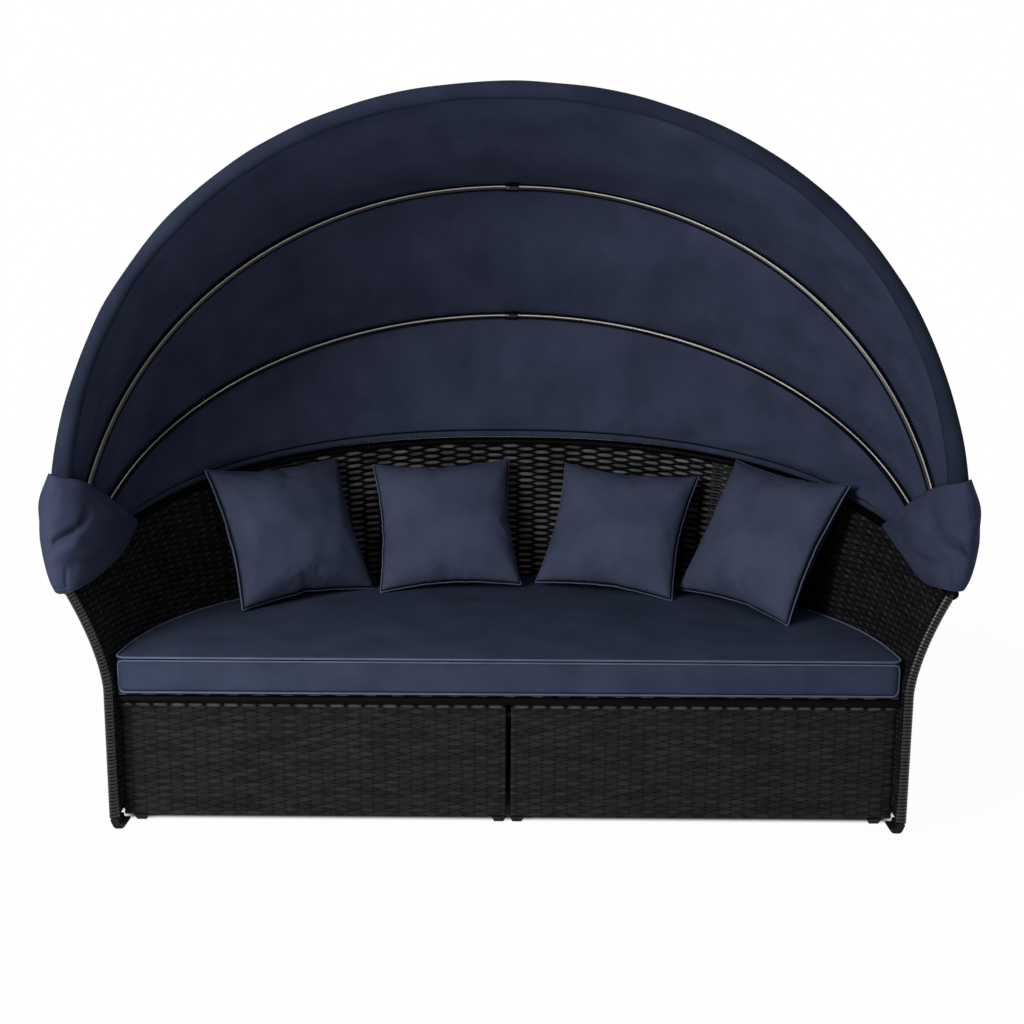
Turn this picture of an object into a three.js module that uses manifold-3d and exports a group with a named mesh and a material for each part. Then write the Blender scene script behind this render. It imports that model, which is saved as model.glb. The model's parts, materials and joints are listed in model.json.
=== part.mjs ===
import * as THREE from "three";
import { mergeVertices } from "three/addons/utils/BufferGeometryUtils.js";
import Module from "manifold-3d";

const wasm = await Module();
wasm.setup();

// An outdoor daybed with a folding canopy. It stands on the ground with +Z up and faces -Y.
// Points are given as x to the right, y behind the arms' front plane and z above the ground,
// and the finished group is centred on its footprint. Lengths are millimetres, tilts degrees.

// Seat shell: its plan is a superellipse through the middle of the woven wall, which leans
// out above the flare's start and ends in a sloping rim.
const shellHalfWidth = 803;
const shellDepth = 750;
const shellExponent = 2.3;
const wallThickness = 20;
const skinThickness = 3;
const flareStartHeight = 290;
const armFlare = 73;
const backFlare = 55;
const flareExponent = 1.6;
const rimFrontHeight = 503;
const rimBackHeight = 690;
const rimDiameter = 24;
const frontPostDiameter = 22;
const baseRingDiameter = 20;
const backPostClearance = 1.5;
const backPostColumns = [6, 11, 16, 21, 26];

// Feet of the shell: the front ones have a low toe that the ottomans pass over.
const footHeight = 21;
const footDepth = 40;
const frontFootBottomWidth = 18;
const frontFootSpread = 9;
const frontFootShift = 2;
const toeHeight = 11.5;
const toeReach = 16;
const rearFootTopWidth = 24;
const rearFootBottomWidth = 16;
const rearFootAngles = [50, 90, 130];

// Seat deck and its rails.
const deckTop = 282;
const deckThickness = 4;
const seatRailDiameter = 18;
const seatRailSetback = 31;
const crossTubeDiameter = 16;
const crossTubeShares = [-0.5, 0, 0.5];

// Ottomans: each is a quarter of the seat's plan.
const ottomanHalfGap = 3.5;
const ottomanSetback = 48;
const ottomanSideClearance = 3;
const ottomanBackClearance = 5;
const ottomanTop = 255;
const ottomanSkin = 5;
const ottomanFrameTube = 16;
const ottomanFootHeight = 12;
const ottomanFootTopWidth = 30;
const ottomanFootBottomWidth = 19;

// Seat cushion.
const cushionHeight = 76;
const cushionSetback = 18;
const cushionSideClearance = 2;
const cushionBackClearance = 5;
const cushionCorner = 20;
const cushionEdgeRound = 7;
const cushionDrawIn = 3;
const cushionCrown = 5;
const cushionCrownReach = 240;

// Throw pillows: one size, squashed a little by how each one leans. The middle of each is a
// share of the seat's half width across, a gap in front of the wall there and a rise above the
// cushion. Turns are degrees about the vertical, leans are degrees back from upright and rolls
// are degrees in the pillow's own face.
const pillowWidth = 350;
const pillowHeight = 335;
const pillowThickness = 122;
const pillowSeam = 5;
const pillowPinchShare = 0.045;
const pillowFullnessShare = 0.42;
const pillows = [
  {
    acrossShare: -0.6444, wallGap: 76.8, rise: 155.6,
    turn: 41.3, lean: 28, roll: 1, sizeShares: [1.02, 1],
  },
  {
    acrossShare: -0.1955, wallGap: 78.4, rise: 149,
    turn: 6.4, lean: 32.4, roll: -2, sizeShares: [0.96, 0.98],
  },
  {
    acrossShare: 0.3241, wallGap: 89.4, rise: 143.8,
    turn: -20.3, lean: 34.3, roll: 2.4, sizeShares: [0.97, 0.955],
  },
  {
    acrossShare: 0.7251, wallGap: 99.1, rise: 158.1,
    turn: -52.5, lean: 30.3, roll: 2, sizeShares: [1, 1.02],
  },
];

// Canopy bows: half ellipses that turn about one axis. The lower one stands outside the shell,
// and each next one outside the one before, with a tilt up from level at the back.
const pivotBack = 75;
const pivotRise = 77;
const lowerBowSideStep = 39;
const lowerBowBackStep = 95;
const upperBowSideStep = 28;
const upperBowBackStep = 15;
const frontHoopSideStep = 26;
const frontHoopBackStep = 21;
const lowerBowTilt = 30;
const upperBowTilt = 57;
const frontHoopTilt = 96;
const lowerBowExponent = 2;
const upperBowExponent = 2.06;
const frontHoopExponent = 2.08;
const bowDiameter = 16;
const hoopDiameter = 19;
const tubeWall = 1.2;
const couplerLength = 30;
const couplerClearance = 1.1;
const couplerWall = 1.3;
const eyeThickness = 4;
const eyeRadius = 11;
const eyeLength = 40;
const tubeStart = 16;
const bowJointGap = 1;

// Pivot hardware.
const boltDiameter = 8;
const boltHeadWidth = 15;
const boltHeadThickness = 5;
const boltTail = 3;
const nutWidth = 16;
const nutThickness = 6.5;
const bracketThickness = 4;
const bracketStep = 14;
const bracketEyeRadius = 14;
const saddleLength = 50;
const saddleHeight = 24;
const saddleWidth = 38;
const saddleLip = 1.5;

// Canopy fabric.
const fabricThickness = 2;
const sleeveDiameter = 32;
const sleeveWall = 2.2;
const sleeveStart = 60;
const seamGap = 0.3;
const hemHeight = 14;
const hemThickness = 3;
const hemCover = 225;
const capReach = 140;
const panelStart = 130;
const frontPanelLift = 8;
const fabricEase = 2.1;

// The cap's three lines run from inside the arm round its front corner to outside the arm.
// Each point is in shares of the cap's reach, from the hoop's end on the pivot axis.
const capTopShares = [
  [-0.61, 1.72, 0], [-0.6, 0.93, 0.535], [-0.415, 0.545, 0.835], [-0.28, -0.09, 1.02],
  [-0.02, -0.31, 1.06], [0.165, -0.08, 1.045], [0.08, 0.607, 0.785], [-0.05, 1.607, 0.215],
];
const capMiddleShares = [
  [-0.61, 1.664, -0.03], [-0.56, 0.893, 0.036], [-0.53, 0.143, 0.143], [-0.357, -0.48, 0.214],
  [-0.02, -0.69, 0.229], [0.288, -0.214, 0.25], [0.257, 0.643, 0.27], [-0.03, 1.593, 0.07],
];
const capHemShares = [
  [-0.61, 1.636, -0.064], [-0.55, 0.893, -0.536], [-0.4, 0.107, -0.62], [-0.3, -0.564, -0.65],
  [-0.1, -0.65, -0.657], [0.03, -0.48, -0.63], [-0.014, 0.607, -0.43], [-0.07, 1.58, -0.107],
];

// Touching clearance, what straight facets need beside a curved wall, and how far a cutter
// runs past what it cuts.
const contactGap = 0.3;
const facetGap = 2.2;
const overrun = 5;

// Counts of facets.
const tubeSides = 8;
const wallColumns = 32;
const wallRows = 6;
const panelColumns = 28;
const panelRows = 2;
const pillowCells = 10;
const halfBowSteps = 12;
const capColumns = 16;
const capRows = 5;

// Worked out from the sizes above.
const lowerBow = bow(
  shellHalfWidth + lowerBowSideStep,
  shellDepth + lowerBowBackStep,
  lowerBowExponent,
  lowerBowTilt,
  bowDiameter,
);
const upperBow = bow(
  lowerBow.halfWidth + upperBowSideStep,
  lowerBow.reach + upperBowBackStep,
  upperBowExponent,
  upperBowTilt,
  bowDiameter,
);
const frontHoop = bow(
  upperBow.halfWidth + frontHoopSideStep,
  upperBow.reach + frontHoopBackStep,
  frontHoopExponent,
  frontHoopTilt,
  hoopDiameter,
);
const pivotHeight = rimFrontHeight + pivotRise;
const innerFace = wallThickness / 2;
const backPostDiameter = wallThickness - 2 * (skinThickness + backPostClearance);
const baseRingHeight = footHeight + contactGap + baseRingDiameter / 2;
const railHeight = deckTop - deckThickness - contactGap - seatRailDiameter / 2;
const cushionBottom = deckTop + contactGap;
const seatHalfWidth = shellHalfWidth - innerFace;
const seatDepth = shellDepth - innerFace;
const couplerRadius = upperBow.diameter / 2 + couplerClearance + couplerWall;
const bracketPlace = lowerBow.halfWidth + bracketStep;
const right = 0;
const left = Math.PI;

const finishes = {
  wicker: { color: 0x1d1d1f, roughness: 0.5, metalness: 0 },
  tube: { color: 0x17181a, roughness: 0.35, metalness: 0.6 },
  steel: { color: 0x8d9093, roughness: 0.35, metalness: 0.9 },
  rubber: { color: 0x101010, roughness: 0.8, metalness: 0 },
  fabric: { color: 0x2c344a, roughness: 0.95, metalness: 0 },
};

function radians(degrees) {
  return THREE.MathUtils.degToRad(degrees);
}

// A bow: its half width and its reach from the pivot axis, the exponent of its superellipse,
// its tilt in degrees and its tube's diameter.
function bow(halfWidth, reach, exponent, tilt, diameter) {
  return { halfWidth, reach, exponent, tilt, diameter };
}

function mesh(name, geometry, finish) {
  const made = new THREE.Mesh(geometry, new THREE.MeshStandardMaterial(finishes[finish]));
  made.name = name;
  return made;
}

// The same piece on the other side of the middle plane.
function mirrored(original, name) {
  const twin = new THREE.Mesh(original.geometry, original.material.clone());
  twin.name = name;
  twin.position.set(-original.position.x, original.position.y, original.position.z);
  twin.scale.x = -1;
  return twin;
}

// A pair of pieces: the right one and its mirror image.
function pair(name, geometry, finish) {
  const rightPiece = mesh(name + "_right", geometry, finish);
  return [rightPiece, mirrored(rightPiece, name + "_left")];
}

// Six times the signed volume, which is negative when the faces point inwards.
function signedVolume(points, triangles) {
  let sum = 0;
  for (let i = 0; i < triangles.length; i += 3) {
    const [a, b, c] = [points[triangles[i]], points[triangles[i + 1]], points[triangles[i + 2]]];
    sum += a.dot(new THREE.Vector3().crossVectors(b, c));
  }
  return sum;
}

// A closed geometry from points and triangles, with its faces turned outwards.
function closedGeometry(points, triangles) {
  const order = signedVolume(points, triangles) < 0 ? [...triangles].reverse() : triangles;
  const geometry = new THREE.BufferGeometry().setFromPoints(points);
  geometry.setIndex(order);
  geometry.computeVertexNormals();
  return geometry;
}

// A sheet with two faces, each a grid of the same rows and columns, closed along its edges.
function sheetSolid(front, back) {
  const rows = front.length;
  const columns = front[0].length;
  const points = [...front.flat(), ...back.flat()];
  const at = (side, row, column) => (side * rows + row) * columns + column;
  const triangles = [];
  const quad = (a, b, c, d) => triangles.push(a, b, c, a, c, d);
  for (let row = 0; row + 1 < rows; row++) {
    for (let column = 0; column + 1 < columns; column++) {
      quad(at(0, row, column), at(0, row, column + 1), at(0, row + 1, column + 1), at(0, row + 1, column));
      quad(at(1, row, column), at(1, row + 1, column), at(1, row + 1, column + 1), at(1, row, column + 1));
    }
    quad(at(0, row, 0), at(0, row + 1, 0), at(1, row + 1, 0), at(1, row, 0));
    const last = columns - 1;
    quad(at(0, row, last), at(1, row, last), at(1, row + 1, last), at(0, row + 1, last));
  }
  for (let column = 0; column + 1 < columns; column++) {
    quad(at(0, 0, column), at(1, 0, column), at(1, 0, column + 1), at(0, 0, column + 1));
    const last = rows - 1;
    quad(at(0, last, column), at(0, last, column + 1), at(1, last, column + 1), at(1, last, column));
  }
  return closedGeometry(points, triangles);
}

// A solid through closed rings of points, with a fan at each end.
function ringSolid(rings) {
  const count = rings[0].length;
  const middle = (ring) =>
    ring.reduce((sum, point) => sum.add(point), new THREE.Vector3()).divideScalar(count);
  const points = [...rings.flat(), middle(rings[0]), middle(rings[rings.length - 1])];
  const bottom = rings.length * count;
  const triangles = [];
  for (let i = 0; i < count; i++) {
    const next = (i + 1) % count;
    for (let ring = 0; ring + 1 < rings.length; ring++) {
      const low = ring * count;
      const high = low + count;
      triangles.push(low + i, low + next, high + next, low + i, high + next, high + i);
    }
    triangles.push(bottom, next, i);
    const top = (rings.length - 1) * count;
    triangles.push(bottom + 1, top + i, top + next);
  }
  return closedGeometry(points, triangles);
}

// Two grids that lie half the thickness to each side of a grid of points.
function thickened(grid, thickness) {
  const side = (sign) =>
    grid.map((line, row) =>
      line.map((point, column) => {
        const above = grid[Math.min(row + 1, grid.length - 1)][column];
        const below = grid[Math.max(row - 1, 0)][column];
        const after = line[Math.min(column + 1, line.length - 1)];
        const before = line[Math.max(column - 1, 0)];
        const normal = new THREE.Vector3().crossVectors(
          after.clone().sub(before),
          above.clone().sub(below),
        );
        return point.clone().addScaledVector(normal.normalize(), (sign * thickness) / 2);
      }),
    );
  return [side(1), side(-1)];
}

// A solid for joining and cutting, from a closed geometry.
function toSolid(geometry) {
  const loose = geometry.index ? geometry.toNonIndexed() : geometry;
  const bare = new THREE.BufferGeometry();
  bare.setAttribute("position", loose.getAttribute("position"));
  const merged = mergeVertices(bare);
  return new wasm.Manifold(
    new wasm.Mesh({
      numProp: 3,
      vertProperties: merged.getAttribute("position").array,
      triVerts: new Uint32Array(merged.index.array),
    }),
  );
}

function toGeometry(solid) {
  const made = solid.getMesh();
  const geometry = new THREE.BufferGeometry();
  geometry.setAttribute("position", new THREE.BufferAttribute(made.vertProperties, made.numProp));
  geometry.setIndex(new THREE.BufferAttribute(made.triVerts, 1));
  geometry.computeVertexNormals();
  return geometry;
}

function cut(geometry, ...cutters) {
  return toGeometry(cutters.reduce((rest, cutter) => rest.subtract(toSolid(cutter)), toSolid(geometry)));
}

function join(geometry, ...others) {
  return toGeometry(others.reduce((whole, other) => whole.add(toSolid(other)), toSolid(geometry)));
}

// A curve through the points that a function gives between two values.
class FunctionCurve extends THREE.Curve {
  constructor(pointAt, from, to) {
    super();
    this.pointAt = pointAt;
    this.from = from;
    this.to = to;
  }

  getPoint(share, target = new THREE.Vector3()) {
    return target.copy(this.pointAt(this.from + (this.to - this.from) * share));
  }
}

// A round tube or bar along a curve.
function tubeAlong(curve, diameter, steps, bore = 0) {
  const section = new THREE.Shape();
  section.absarc(0, 0, diameter / 2, 0, 2 * Math.PI);
  if (bore > 0) {
    const hole = new THREE.Path();
    hole.absarc(0, 0, bore / 2, 0, 2 * Math.PI, true);
    section.holes.push(hole);
  }
  const options = { steps, bevelEnabled: false, extrudePath: curve, curveSegments: tubeSides / 2 };
  return new THREE.ExtrudeGeometry(section, options);
}

function straightTube(start, end, diameter) {
  return tubeAlong(new THREE.LineCurve3(start, end), diameter, 1);
}

// A flat shape in the y-z plane, given a thickness along x about a middle.
function plateAcross(shape, middle, thickness, curveSegments = 6) {
  const plate = new THREE.ExtrudeGeometry(shape, {
    depth: thickness,
    bevelEnabled: false,
    curveSegments,
  });
  const turn = new THREE.Matrix4().makeBasis(
    new THREE.Vector3(0, 1, 0),
    new THREE.Vector3(0, 0, 1),
    new THREE.Vector3(1, 0, 0),
  );
  return plate.applyMatrix4(turn).translate(middle - thickness / 2, 0, 0);
}

// A round or six-sided bar along x.
function barAcross(start, end, diameter, sides) {
  const bar = new THREE.CylinderGeometry(diameter / 2, diameter / 2, end - start, sides);
  return bar.rotateZ(-Math.PI / 2).translate((start + end) / 2, 0, 0);
}

// A foot that narrows downwards, standing on the ground at a place in plan. Its flat sides
// are the given widths apart.
function taperedFoot(topWidth, bottomWidth, height, sides, x, y) {
  const half = 2 * Math.cos(Math.PI / sides);
  const foot = new THREE.CylinderGeometry(topWidth / half, bottomWidth / half, height, sides);
  return foot.rotateY(Math.PI / sides).rotateX(Math.PI / 2).translate(x, y, height / 2);
}

// A point of a superellipse: angle 0 is its right end and a quarter turn is its farthest back.
function superellipse(halfWidth, depth, exponent, angle) {
  const along = Math.cos(angle);
  return new THREE.Vector2(
    Math.sign(along) * halfWidth * Math.abs(along) ** (2 / exponent),
    depth * Math.sin(angle) ** (2 / exponent),
  );
}

// The angle at which a superellipse of that depth reaches a distance back.
function angleAtDepth(back, depth, exponent) {
  return Math.asin((back / depth) ** (exponent / 2));
}

function planNormal(angle) {
  const plan = superellipse(shellHalfWidth, shellDepth, shellExponent, angle);
  const steepness = shellExponent - 1;
  return new THREE.Vector2(
    (Math.sign(plan.x) * Math.abs(plan.x / shellHalfWidth) ** steepness) / shellHalfWidth,
    (plan.y / shellDepth) ** steepness / shellDepth,
  ).normalize();
}

function flareAt(angle) {
  return THREE.MathUtils.lerp(armFlare, backFlare, Math.sin(angle));
}

function rimHeight(angle) {
  const plan = superellipse(shellHalfWidth, shellDepth, shellExponent, angle);
  const back = plan.y + planNormal(angle).y * flareAt(angle);
  return THREE.MathUtils.lerp(rimFrontHeight, rimBackHeight, back / (shellDepth + backFlare));
}

// A point of the wall: its middle surface at a height, moved outwards in plan.
function wallPoint(angle, height, outward) {
  const plan = superellipse(shellHalfWidth, shellDepth, shellExponent, angle);
  const share = (height - flareStartHeight) / (rimHeight(angle) - flareStartHeight);
  const lean = flareAt(angle) * Math.max(0, share) ** flareExponent;
  plan.addScaledVector(planNormal(angle), lean + outward);
  return new THREE.Vector3(plan.x, plan.y, height);
}

function rimPoint(angle) {
  return wallPoint(angle, rimHeight(angle), 0);
}

// The angle at which the rim is a distance back.
function rimAngleAt(back) {
  let low = right;
  let high = Math.PI / 2;
  while (high - low > Number.EPSILON * Math.PI) {
    const middle = (low + high) / 2;
    if (middle === low || middle === high) break;
    if (rimPoint(middle).y < back) low = middle;
    else high = middle;
  }
  return low;
}

const rimCurve = new FunctionCurve(rimPoint, right, left);

function rimTube(extra = 0) {
  return tubeAlong(rimCurve, rimDiameter + extra, wallColumns);
}

const skinStart = angleAtDepth(frontPostDiameter + contactGap, shellDepth, shellExponent);

function baseRing(extra = 0) {
  const path = new FunctionCurve(
    (angle) => wallPoint(angle, baseRingHeight, 0),
    skinStart,
    left - skinStart,
  );
  return tubeAlong(path, baseRingDiameter + extra, wallColumns);
}

// The angles of a skin's columns: its two front edges, and the rim tube's facets between.
function skinAngles() {
  const angles = [skinStart];
  for (let i = 1; i < wallColumns; i++) angles.push(left * rimCurve.getUtoTmapping(i / wallColumns));
  angles.push(left - skinStart);
  return angles;
}

// How far below the rim's middle a skin ends, so that its edge at an offset seats on the tube.
function rimSeatDrop(angle, outward) {
  const lean = (flareAt(angle) * flareExponent) / (rimHeight(angle) - flareStartHeight);
  const reach = rimDiameter / 2 + 2 * contactGap;
  const steep = 1 + lean ** 2;
  return (lean * outward + Math.sqrt(reach ** 2 * steep - outward ** 2)) / steep;
}

// One woven skin between two offsets from the wall's middle, from base ring to rim.
function skin(near, far) {
  const low = baseRingHeight + baseRingDiameter / 2 + contactGap;
  const face = (outward) =>
    Array.from({ length: wallRows + 1 }, (_, row) =>
      skinAngles().map((angle) => {
        const drop = Math.max(rimSeatDrop(angle, near), rimSeatDrop(angle, far));
        const share = (row - 1) / (wallRows - 1);
        const height = THREE.MathUtils.lerp(flareStartHeight, rimHeight(angle) - drop, share);
        return wallPoint(angle, row === 0 ? low : height, outward);
      }),
    );
  return sheetSolid(face(near), face(far));
}

function frontPost() {
  const angle = angleAtDepth(frontPostDiameter / 2, shellDepth, shellExponent);
  const path = new FunctionCurve(
    (height) => wallPoint(angle, height, 0),
    footHeight + contactGap,
    rimHeight(angle),
  );
  return cut(tubeAlong(path, frontPostDiameter, 2 * wallRows), rimTube(2 * contactGap));
}

// A post between the skins, where two of their facets meet.
function backPost(angle) {
  const path = new FunctionCurve(
    (height) => wallPoint(angle, height, 0),
    baseRingHeight,
    rimHeight(angle),
  );
  const reach = 2 * contactGap;
  return cut(tubeAlong(path, backPostDiameter, wallRows), rimTube(reach), baseRing(reach));
}

// The front foot's outline has a toe towards the middle, low enough for an ottoman to pass.
function frontFoot() {
  const inner = shellHalfWidth - frontPostDiameter / 2;
  const bottomLeft = inner - frontFootBottomWidth / 2 + frontFootShift;
  const bottomRight = bottomLeft + frontFootBottomWidth;
  const outline = new THREE.Shape([
    new THREE.Vector2(bottomLeft, 0),
    new THREE.Vector2(bottomRight, 0),
    new THREE.Vector2(bottomRight + frontFootSpread, footHeight),
    new THREE.Vector2(inner - contactGap, footHeight),
    new THREE.Vector2(inner - contactGap, toeHeight),
    new THREE.Vector2(inner - toeReach, toeHeight),
  ]);
  const foot = new THREE.ExtrudeGeometry(outline, { depth: footDepth, bevelEnabled: false });
  return foot.rotateX(Math.PI / 2).translate(0, footDepth, 0);
}

function rearFoot(angle) {
  const { x, y } = wallPoint(angle, 0, 0);
  return taperedFoot(rearFootTopWidth, rearFootBottomWidth, footHeight, tubeSides, x, y);
}

const ringRailOffset = -(innerFace + facetGap + seatRailDiameter / 2);

function frontRail(extra = 0) {
  const back = seatRailSetback + seatRailDiameter / 2;
  const angle = angleAtDepth(back, shellDepth, shellExponent);
  const end = wallPoint(angle, railHeight, -innerFace).x - 2 * contactGap;
  return straightTube(
    new THREE.Vector3(-end, seatRailSetback, railHeight),
    new THREE.Vector3(end, seatRailSetback, railHeight),
    seatRailDiameter + extra,
  );
}

function ringRail(extra = 0) {
  const start = seatRailSetback + seatRailDiameter / 2 + 3 * contactGap;
  const angle = angleAtDepth(start, shellDepth, shellExponent);
  const path = new FunctionCurve(
    (turn) => wallPoint(turn, railHeight, ringRailOffset),
    angle,
    left - angle,
  );
  return tubeAlong(path, seatRailDiameter + extra, wallColumns);
}

// A cross tube from the front rail back to the curved rail.
function crossTube(share) {
  const x = share * seatHalfWidth;
  const angle = Math.acos(Math.abs(share) ** (shellExponent / 2));
  const back = wallPoint(angle, railHeight, ringRailOffset).y;
  const tube = straightTube(
    new THREE.Vector3(x, seatRailSetback, railHeight),
    new THREE.Vector3(x, back, railHeight),
    crossTubeDiameter,
  );
  const reach = 2 * contactGap;
  return cut(tube, frontRail(reach), ringRail(reach));
}

// The seat's plan: a straight front, rounded front corners and the shell's curve behind.
function seatPlan(halfWidth, front, depth, corner, inset) {
  const width = halfWidth - inset;
  const reach = depth - inset;
  const start = front + inset;
  const round = Math.max(corner - inset, corner / 4);
  const angle = angleAtDepth(start + round, reach, shellExponent);
  const join = superellipse(width, reach, shellExponent, angle);
  const points = [];
  for (let i = 0; i <= wallColumns; i++) {
    const turn = THREE.MathUtils.lerp(angle, left - angle, i / wallColumns);
    points.push(superellipse(width, reach, shellExponent, turn));
  }
  const cornerPoint = (side, turn) =>
    new THREE.Vector2(
      side * (join.x - round + round * Math.cos(turn)),
      start + round - round * Math.sin(turn),
    );
  for (const turn of [30, 60, 90]) points.push(cornerPoint(-1, radians(turn)));
  for (const turn of [90, 60, 30]) points.push(cornerPoint(1, radians(turn)));
  return points;
}

function seatDeck() {
  const start = frontPostDiameter + contactGap;
  const outline = seatPlan(
    seatHalfWidth - facetGap,
    start,
    seatDepth - facetGap,
    deckThickness,
    0,
  );
  const deck = new THREE.ExtrudeGeometry(new THREE.Shape(outline), {
    depth: deckThickness,
    bevelEnabled: false,
  });
  return deck.translate(0, 0, deckTop - deckThickness);
}

// The cushion's rings: each has an inset in plan and a height.
function seatCushion() {
  const top = cushionBottom + cushionHeight;
  const middle = cushionBottom + cushionHeight / 2;
  const profile = [
    [cushionEdgeRound, cushionBottom],
    [0, cushionBottom + cushionEdgeRound],
    [cushionDrawIn, middle],
    [0, top - cushionEdgeRound],
    [cushionEdgeRound, top],
    [cushionCrownReach / 3, top + (2 * cushionCrown) / 3],
    [cushionCrownReach, top + cushionCrown],
  ];
  const rings = profile.map(([inset, height]) =>
    seatPlan(
      seatHalfWidth - cushionSideClearance,
      cushionSetback,
      seatDepth - cushionBackClearance,
      cushionCorner,
      inset,
    ).map((point) => new THREE.Vector3(point.x, point.y, height)),
  );
  return ringSolid(rings);
}

// One pillow: full in the middle, thin at its seam, with its sides drawn in between corners.
function pillowGeometry([widthShare, heightShare]) {
  const face = (sign) =>
    Array.from({ length: pillowCells + 1 }, (_, row) =>
      Array.from({ length: pillowCells + 1 }, (_, column) => {
        const across = Math.sin(((2 * column) / pillowCells - 1) * (Math.PI / 2));
        const up = Math.sin(((2 * row) / pillowCells - 1) * (Math.PI / 2));
        const fullness = ((1 - across ** 2) * (1 - up ** 2)) ** pillowFullnessShare;
        const bulge = (pillowThickness - pillowSeam) * fullness + pillowSeam;
        return new THREE.Vector3(
          ((widthShare * pillowWidth) / 2) * across * (1 - pillowPinchShare * (1 - up ** 2)),
          (sign * bulge) / 2,
          ((heightShare * pillowHeight) / 2) * up * (1 - pillowPinchShare * (1 - across ** 2)),
        );
      }),
    );
  return sheetSolid(face(-1), face(1));
}

// How far back the wall's inner face is, at a distance to the side of the middle.
function wallBackAt(across) {
  const share = Math.abs(across / seatHalfWidth) ** shellExponent;
  return seatDepth * (1 - share) ** (1 / shellExponent);
}

function pillowMesh({ acrossShare, wallGap, rise, turn, lean, roll, sizeShares }, index) {
  const pillow = mesh("pillow_" + (index + 1), pillowGeometry(sizeShares), "fabric");
  const across = acrossShare * seatHalfWidth;
  pillow.position.set(across, wallBackAt(across) - wallGap, cushionBottom + cushionHeight + rise);
  pillow.rotation.order = "ZXY";
  pillow.rotation.set(radians(-lean), radians(roll), radians(turn));
  return pillow;
}

// An ottoman's plan, drawn in by an inset: straight front and middle side, curved outer side.
function ottomanPlan(inset) {
  const width = seatHalfWidth - ottomanSideClearance - inset;
  const depth = seatDepth - ottomanBackClearance - inset;
  const front = ottomanSetback + inset;
  const side = ottomanHalfGap + inset;
  const start = angleAtDepth(front, depth, shellExponent);
  const end = Math.acos((side / width) ** (shellExponent / 2));
  const points = [new THREE.Vector2(side, front)];
  for (let i = 0; i <= wallColumns / 2; i++) {
    const turn = THREE.MathUtils.lerp(start, end, (2 * i) / wallColumns);
    points.push(superellipse(width, depth, shellExponent, turn));
  }
  return points;
}

const ottomanBottom = ottomanFootHeight + contactGap;

function ottomanSlab(inset, low, high) {
  const slab = new THREE.ExtrudeGeometry(new THREE.Shape(ottomanPlan(inset)), {
    depth: high - low,
    bevelEnabled: false,
  });
  return slab.translate(0, 0, low);
}

function ottomanWeave() {
  return cut(
    ottomanSlab(0, ottomanBottom, ottomanTop),
    ottomanSlab(ottomanSkin, ottomanBottom - overrun, ottomanTop - ottomanSkin),
  );
}

// A ring of square tube under the woven sides, at a height.
function ottomanRing(low) {
  const outer = ottomanSkin + contactGap;
  return cut(
    ottomanSlab(outer, low, low + ottomanFrameTube),
    ottomanSlab(outer + ottomanFrameTube, low - overrun, low + ottomanFrameTube + overrun),
  );
}

// The ottoman's corners in plan: front middle, front outer and back middle, each the middle
// of a frame upright.
function ottomanCorners() {
  const inset = ottomanSkin + contactGap + ottomanFrameTube / 2;
  const plan = ottomanPlan(inset);
  const back = plan[plan.length - 1];
  return [
    [plan[0].x, plan[0].y],
    [plan[1].x - ottomanFrameTube, plan[1].y],
    [back.x, back.y - ottomanFrameTube / 4],
  ];
}

function ottomanFrame() {
  const top = ottomanTop - ottomanSkin - contactGap;
  const uprights = ottomanCorners().map(([x, y]) =>
    new THREE.BoxGeometry(
      ottomanFrameTube / 2,
      ottomanFrameTube / 2,
      top - ottomanBottom - ottomanFrameTube,
    ).translate(x, y, (top + ottomanBottom) / 2),
  );
  return join(ottomanRing(top - ottomanFrameTube), ottomanRing(ottomanBottom), ...uprights);
}

function ottomanFoot([x, y]) {
  const reach = ottomanFootTopWidth / 2 + contactGap;
  const inward = Math.max(x, ottomanHalfGap + reach);
  const outward = seatHalfWidth - ottomanSideClearance - toeReach - reach;
  const place = Math.min(inward, outward);
  return taperedFoot(ottomanFootTopWidth, ottomanFootBottomWidth, ottomanFootHeight, 4, place, y);
}

function ottoman() {
  const pieces = [
    ...pair("ottoman_weave", ottomanWeave(), "wicker"),
    ...pair("ottoman_frame", ottomanFrame(), "tube"),
  ];
  const names = ["ottoman_inner_foot", "ottoman_outer_foot", "ottoman_back_foot"];
  ottomanCorners().forEach((corner, index) => {
    pieces.push(...pair(names[index], ottomanFoot(corner), "rubber"));
  });
  return pieces;
}

// A point of a bow in its own plane: x across the daybed and y out from the pivot axis.
function bowPlanePoint(bow, angle) {
  const { x, y } = superellipse(bow.halfWidth, bow.reach, bow.exponent, angle);
  return new THREE.Vector3(x, y, 0);
}

// The same point on the standing daybed.
function bowPoint(bow, angle) {
  const point = bowPlanePoint(bow, angle).applyAxisAngle(
    new THREE.Vector3(1, 0, 0),
    radians(bow.tilt),
  );
  return point.add(new THREE.Vector3(0, pivotBack, pivotHeight));
}

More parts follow.
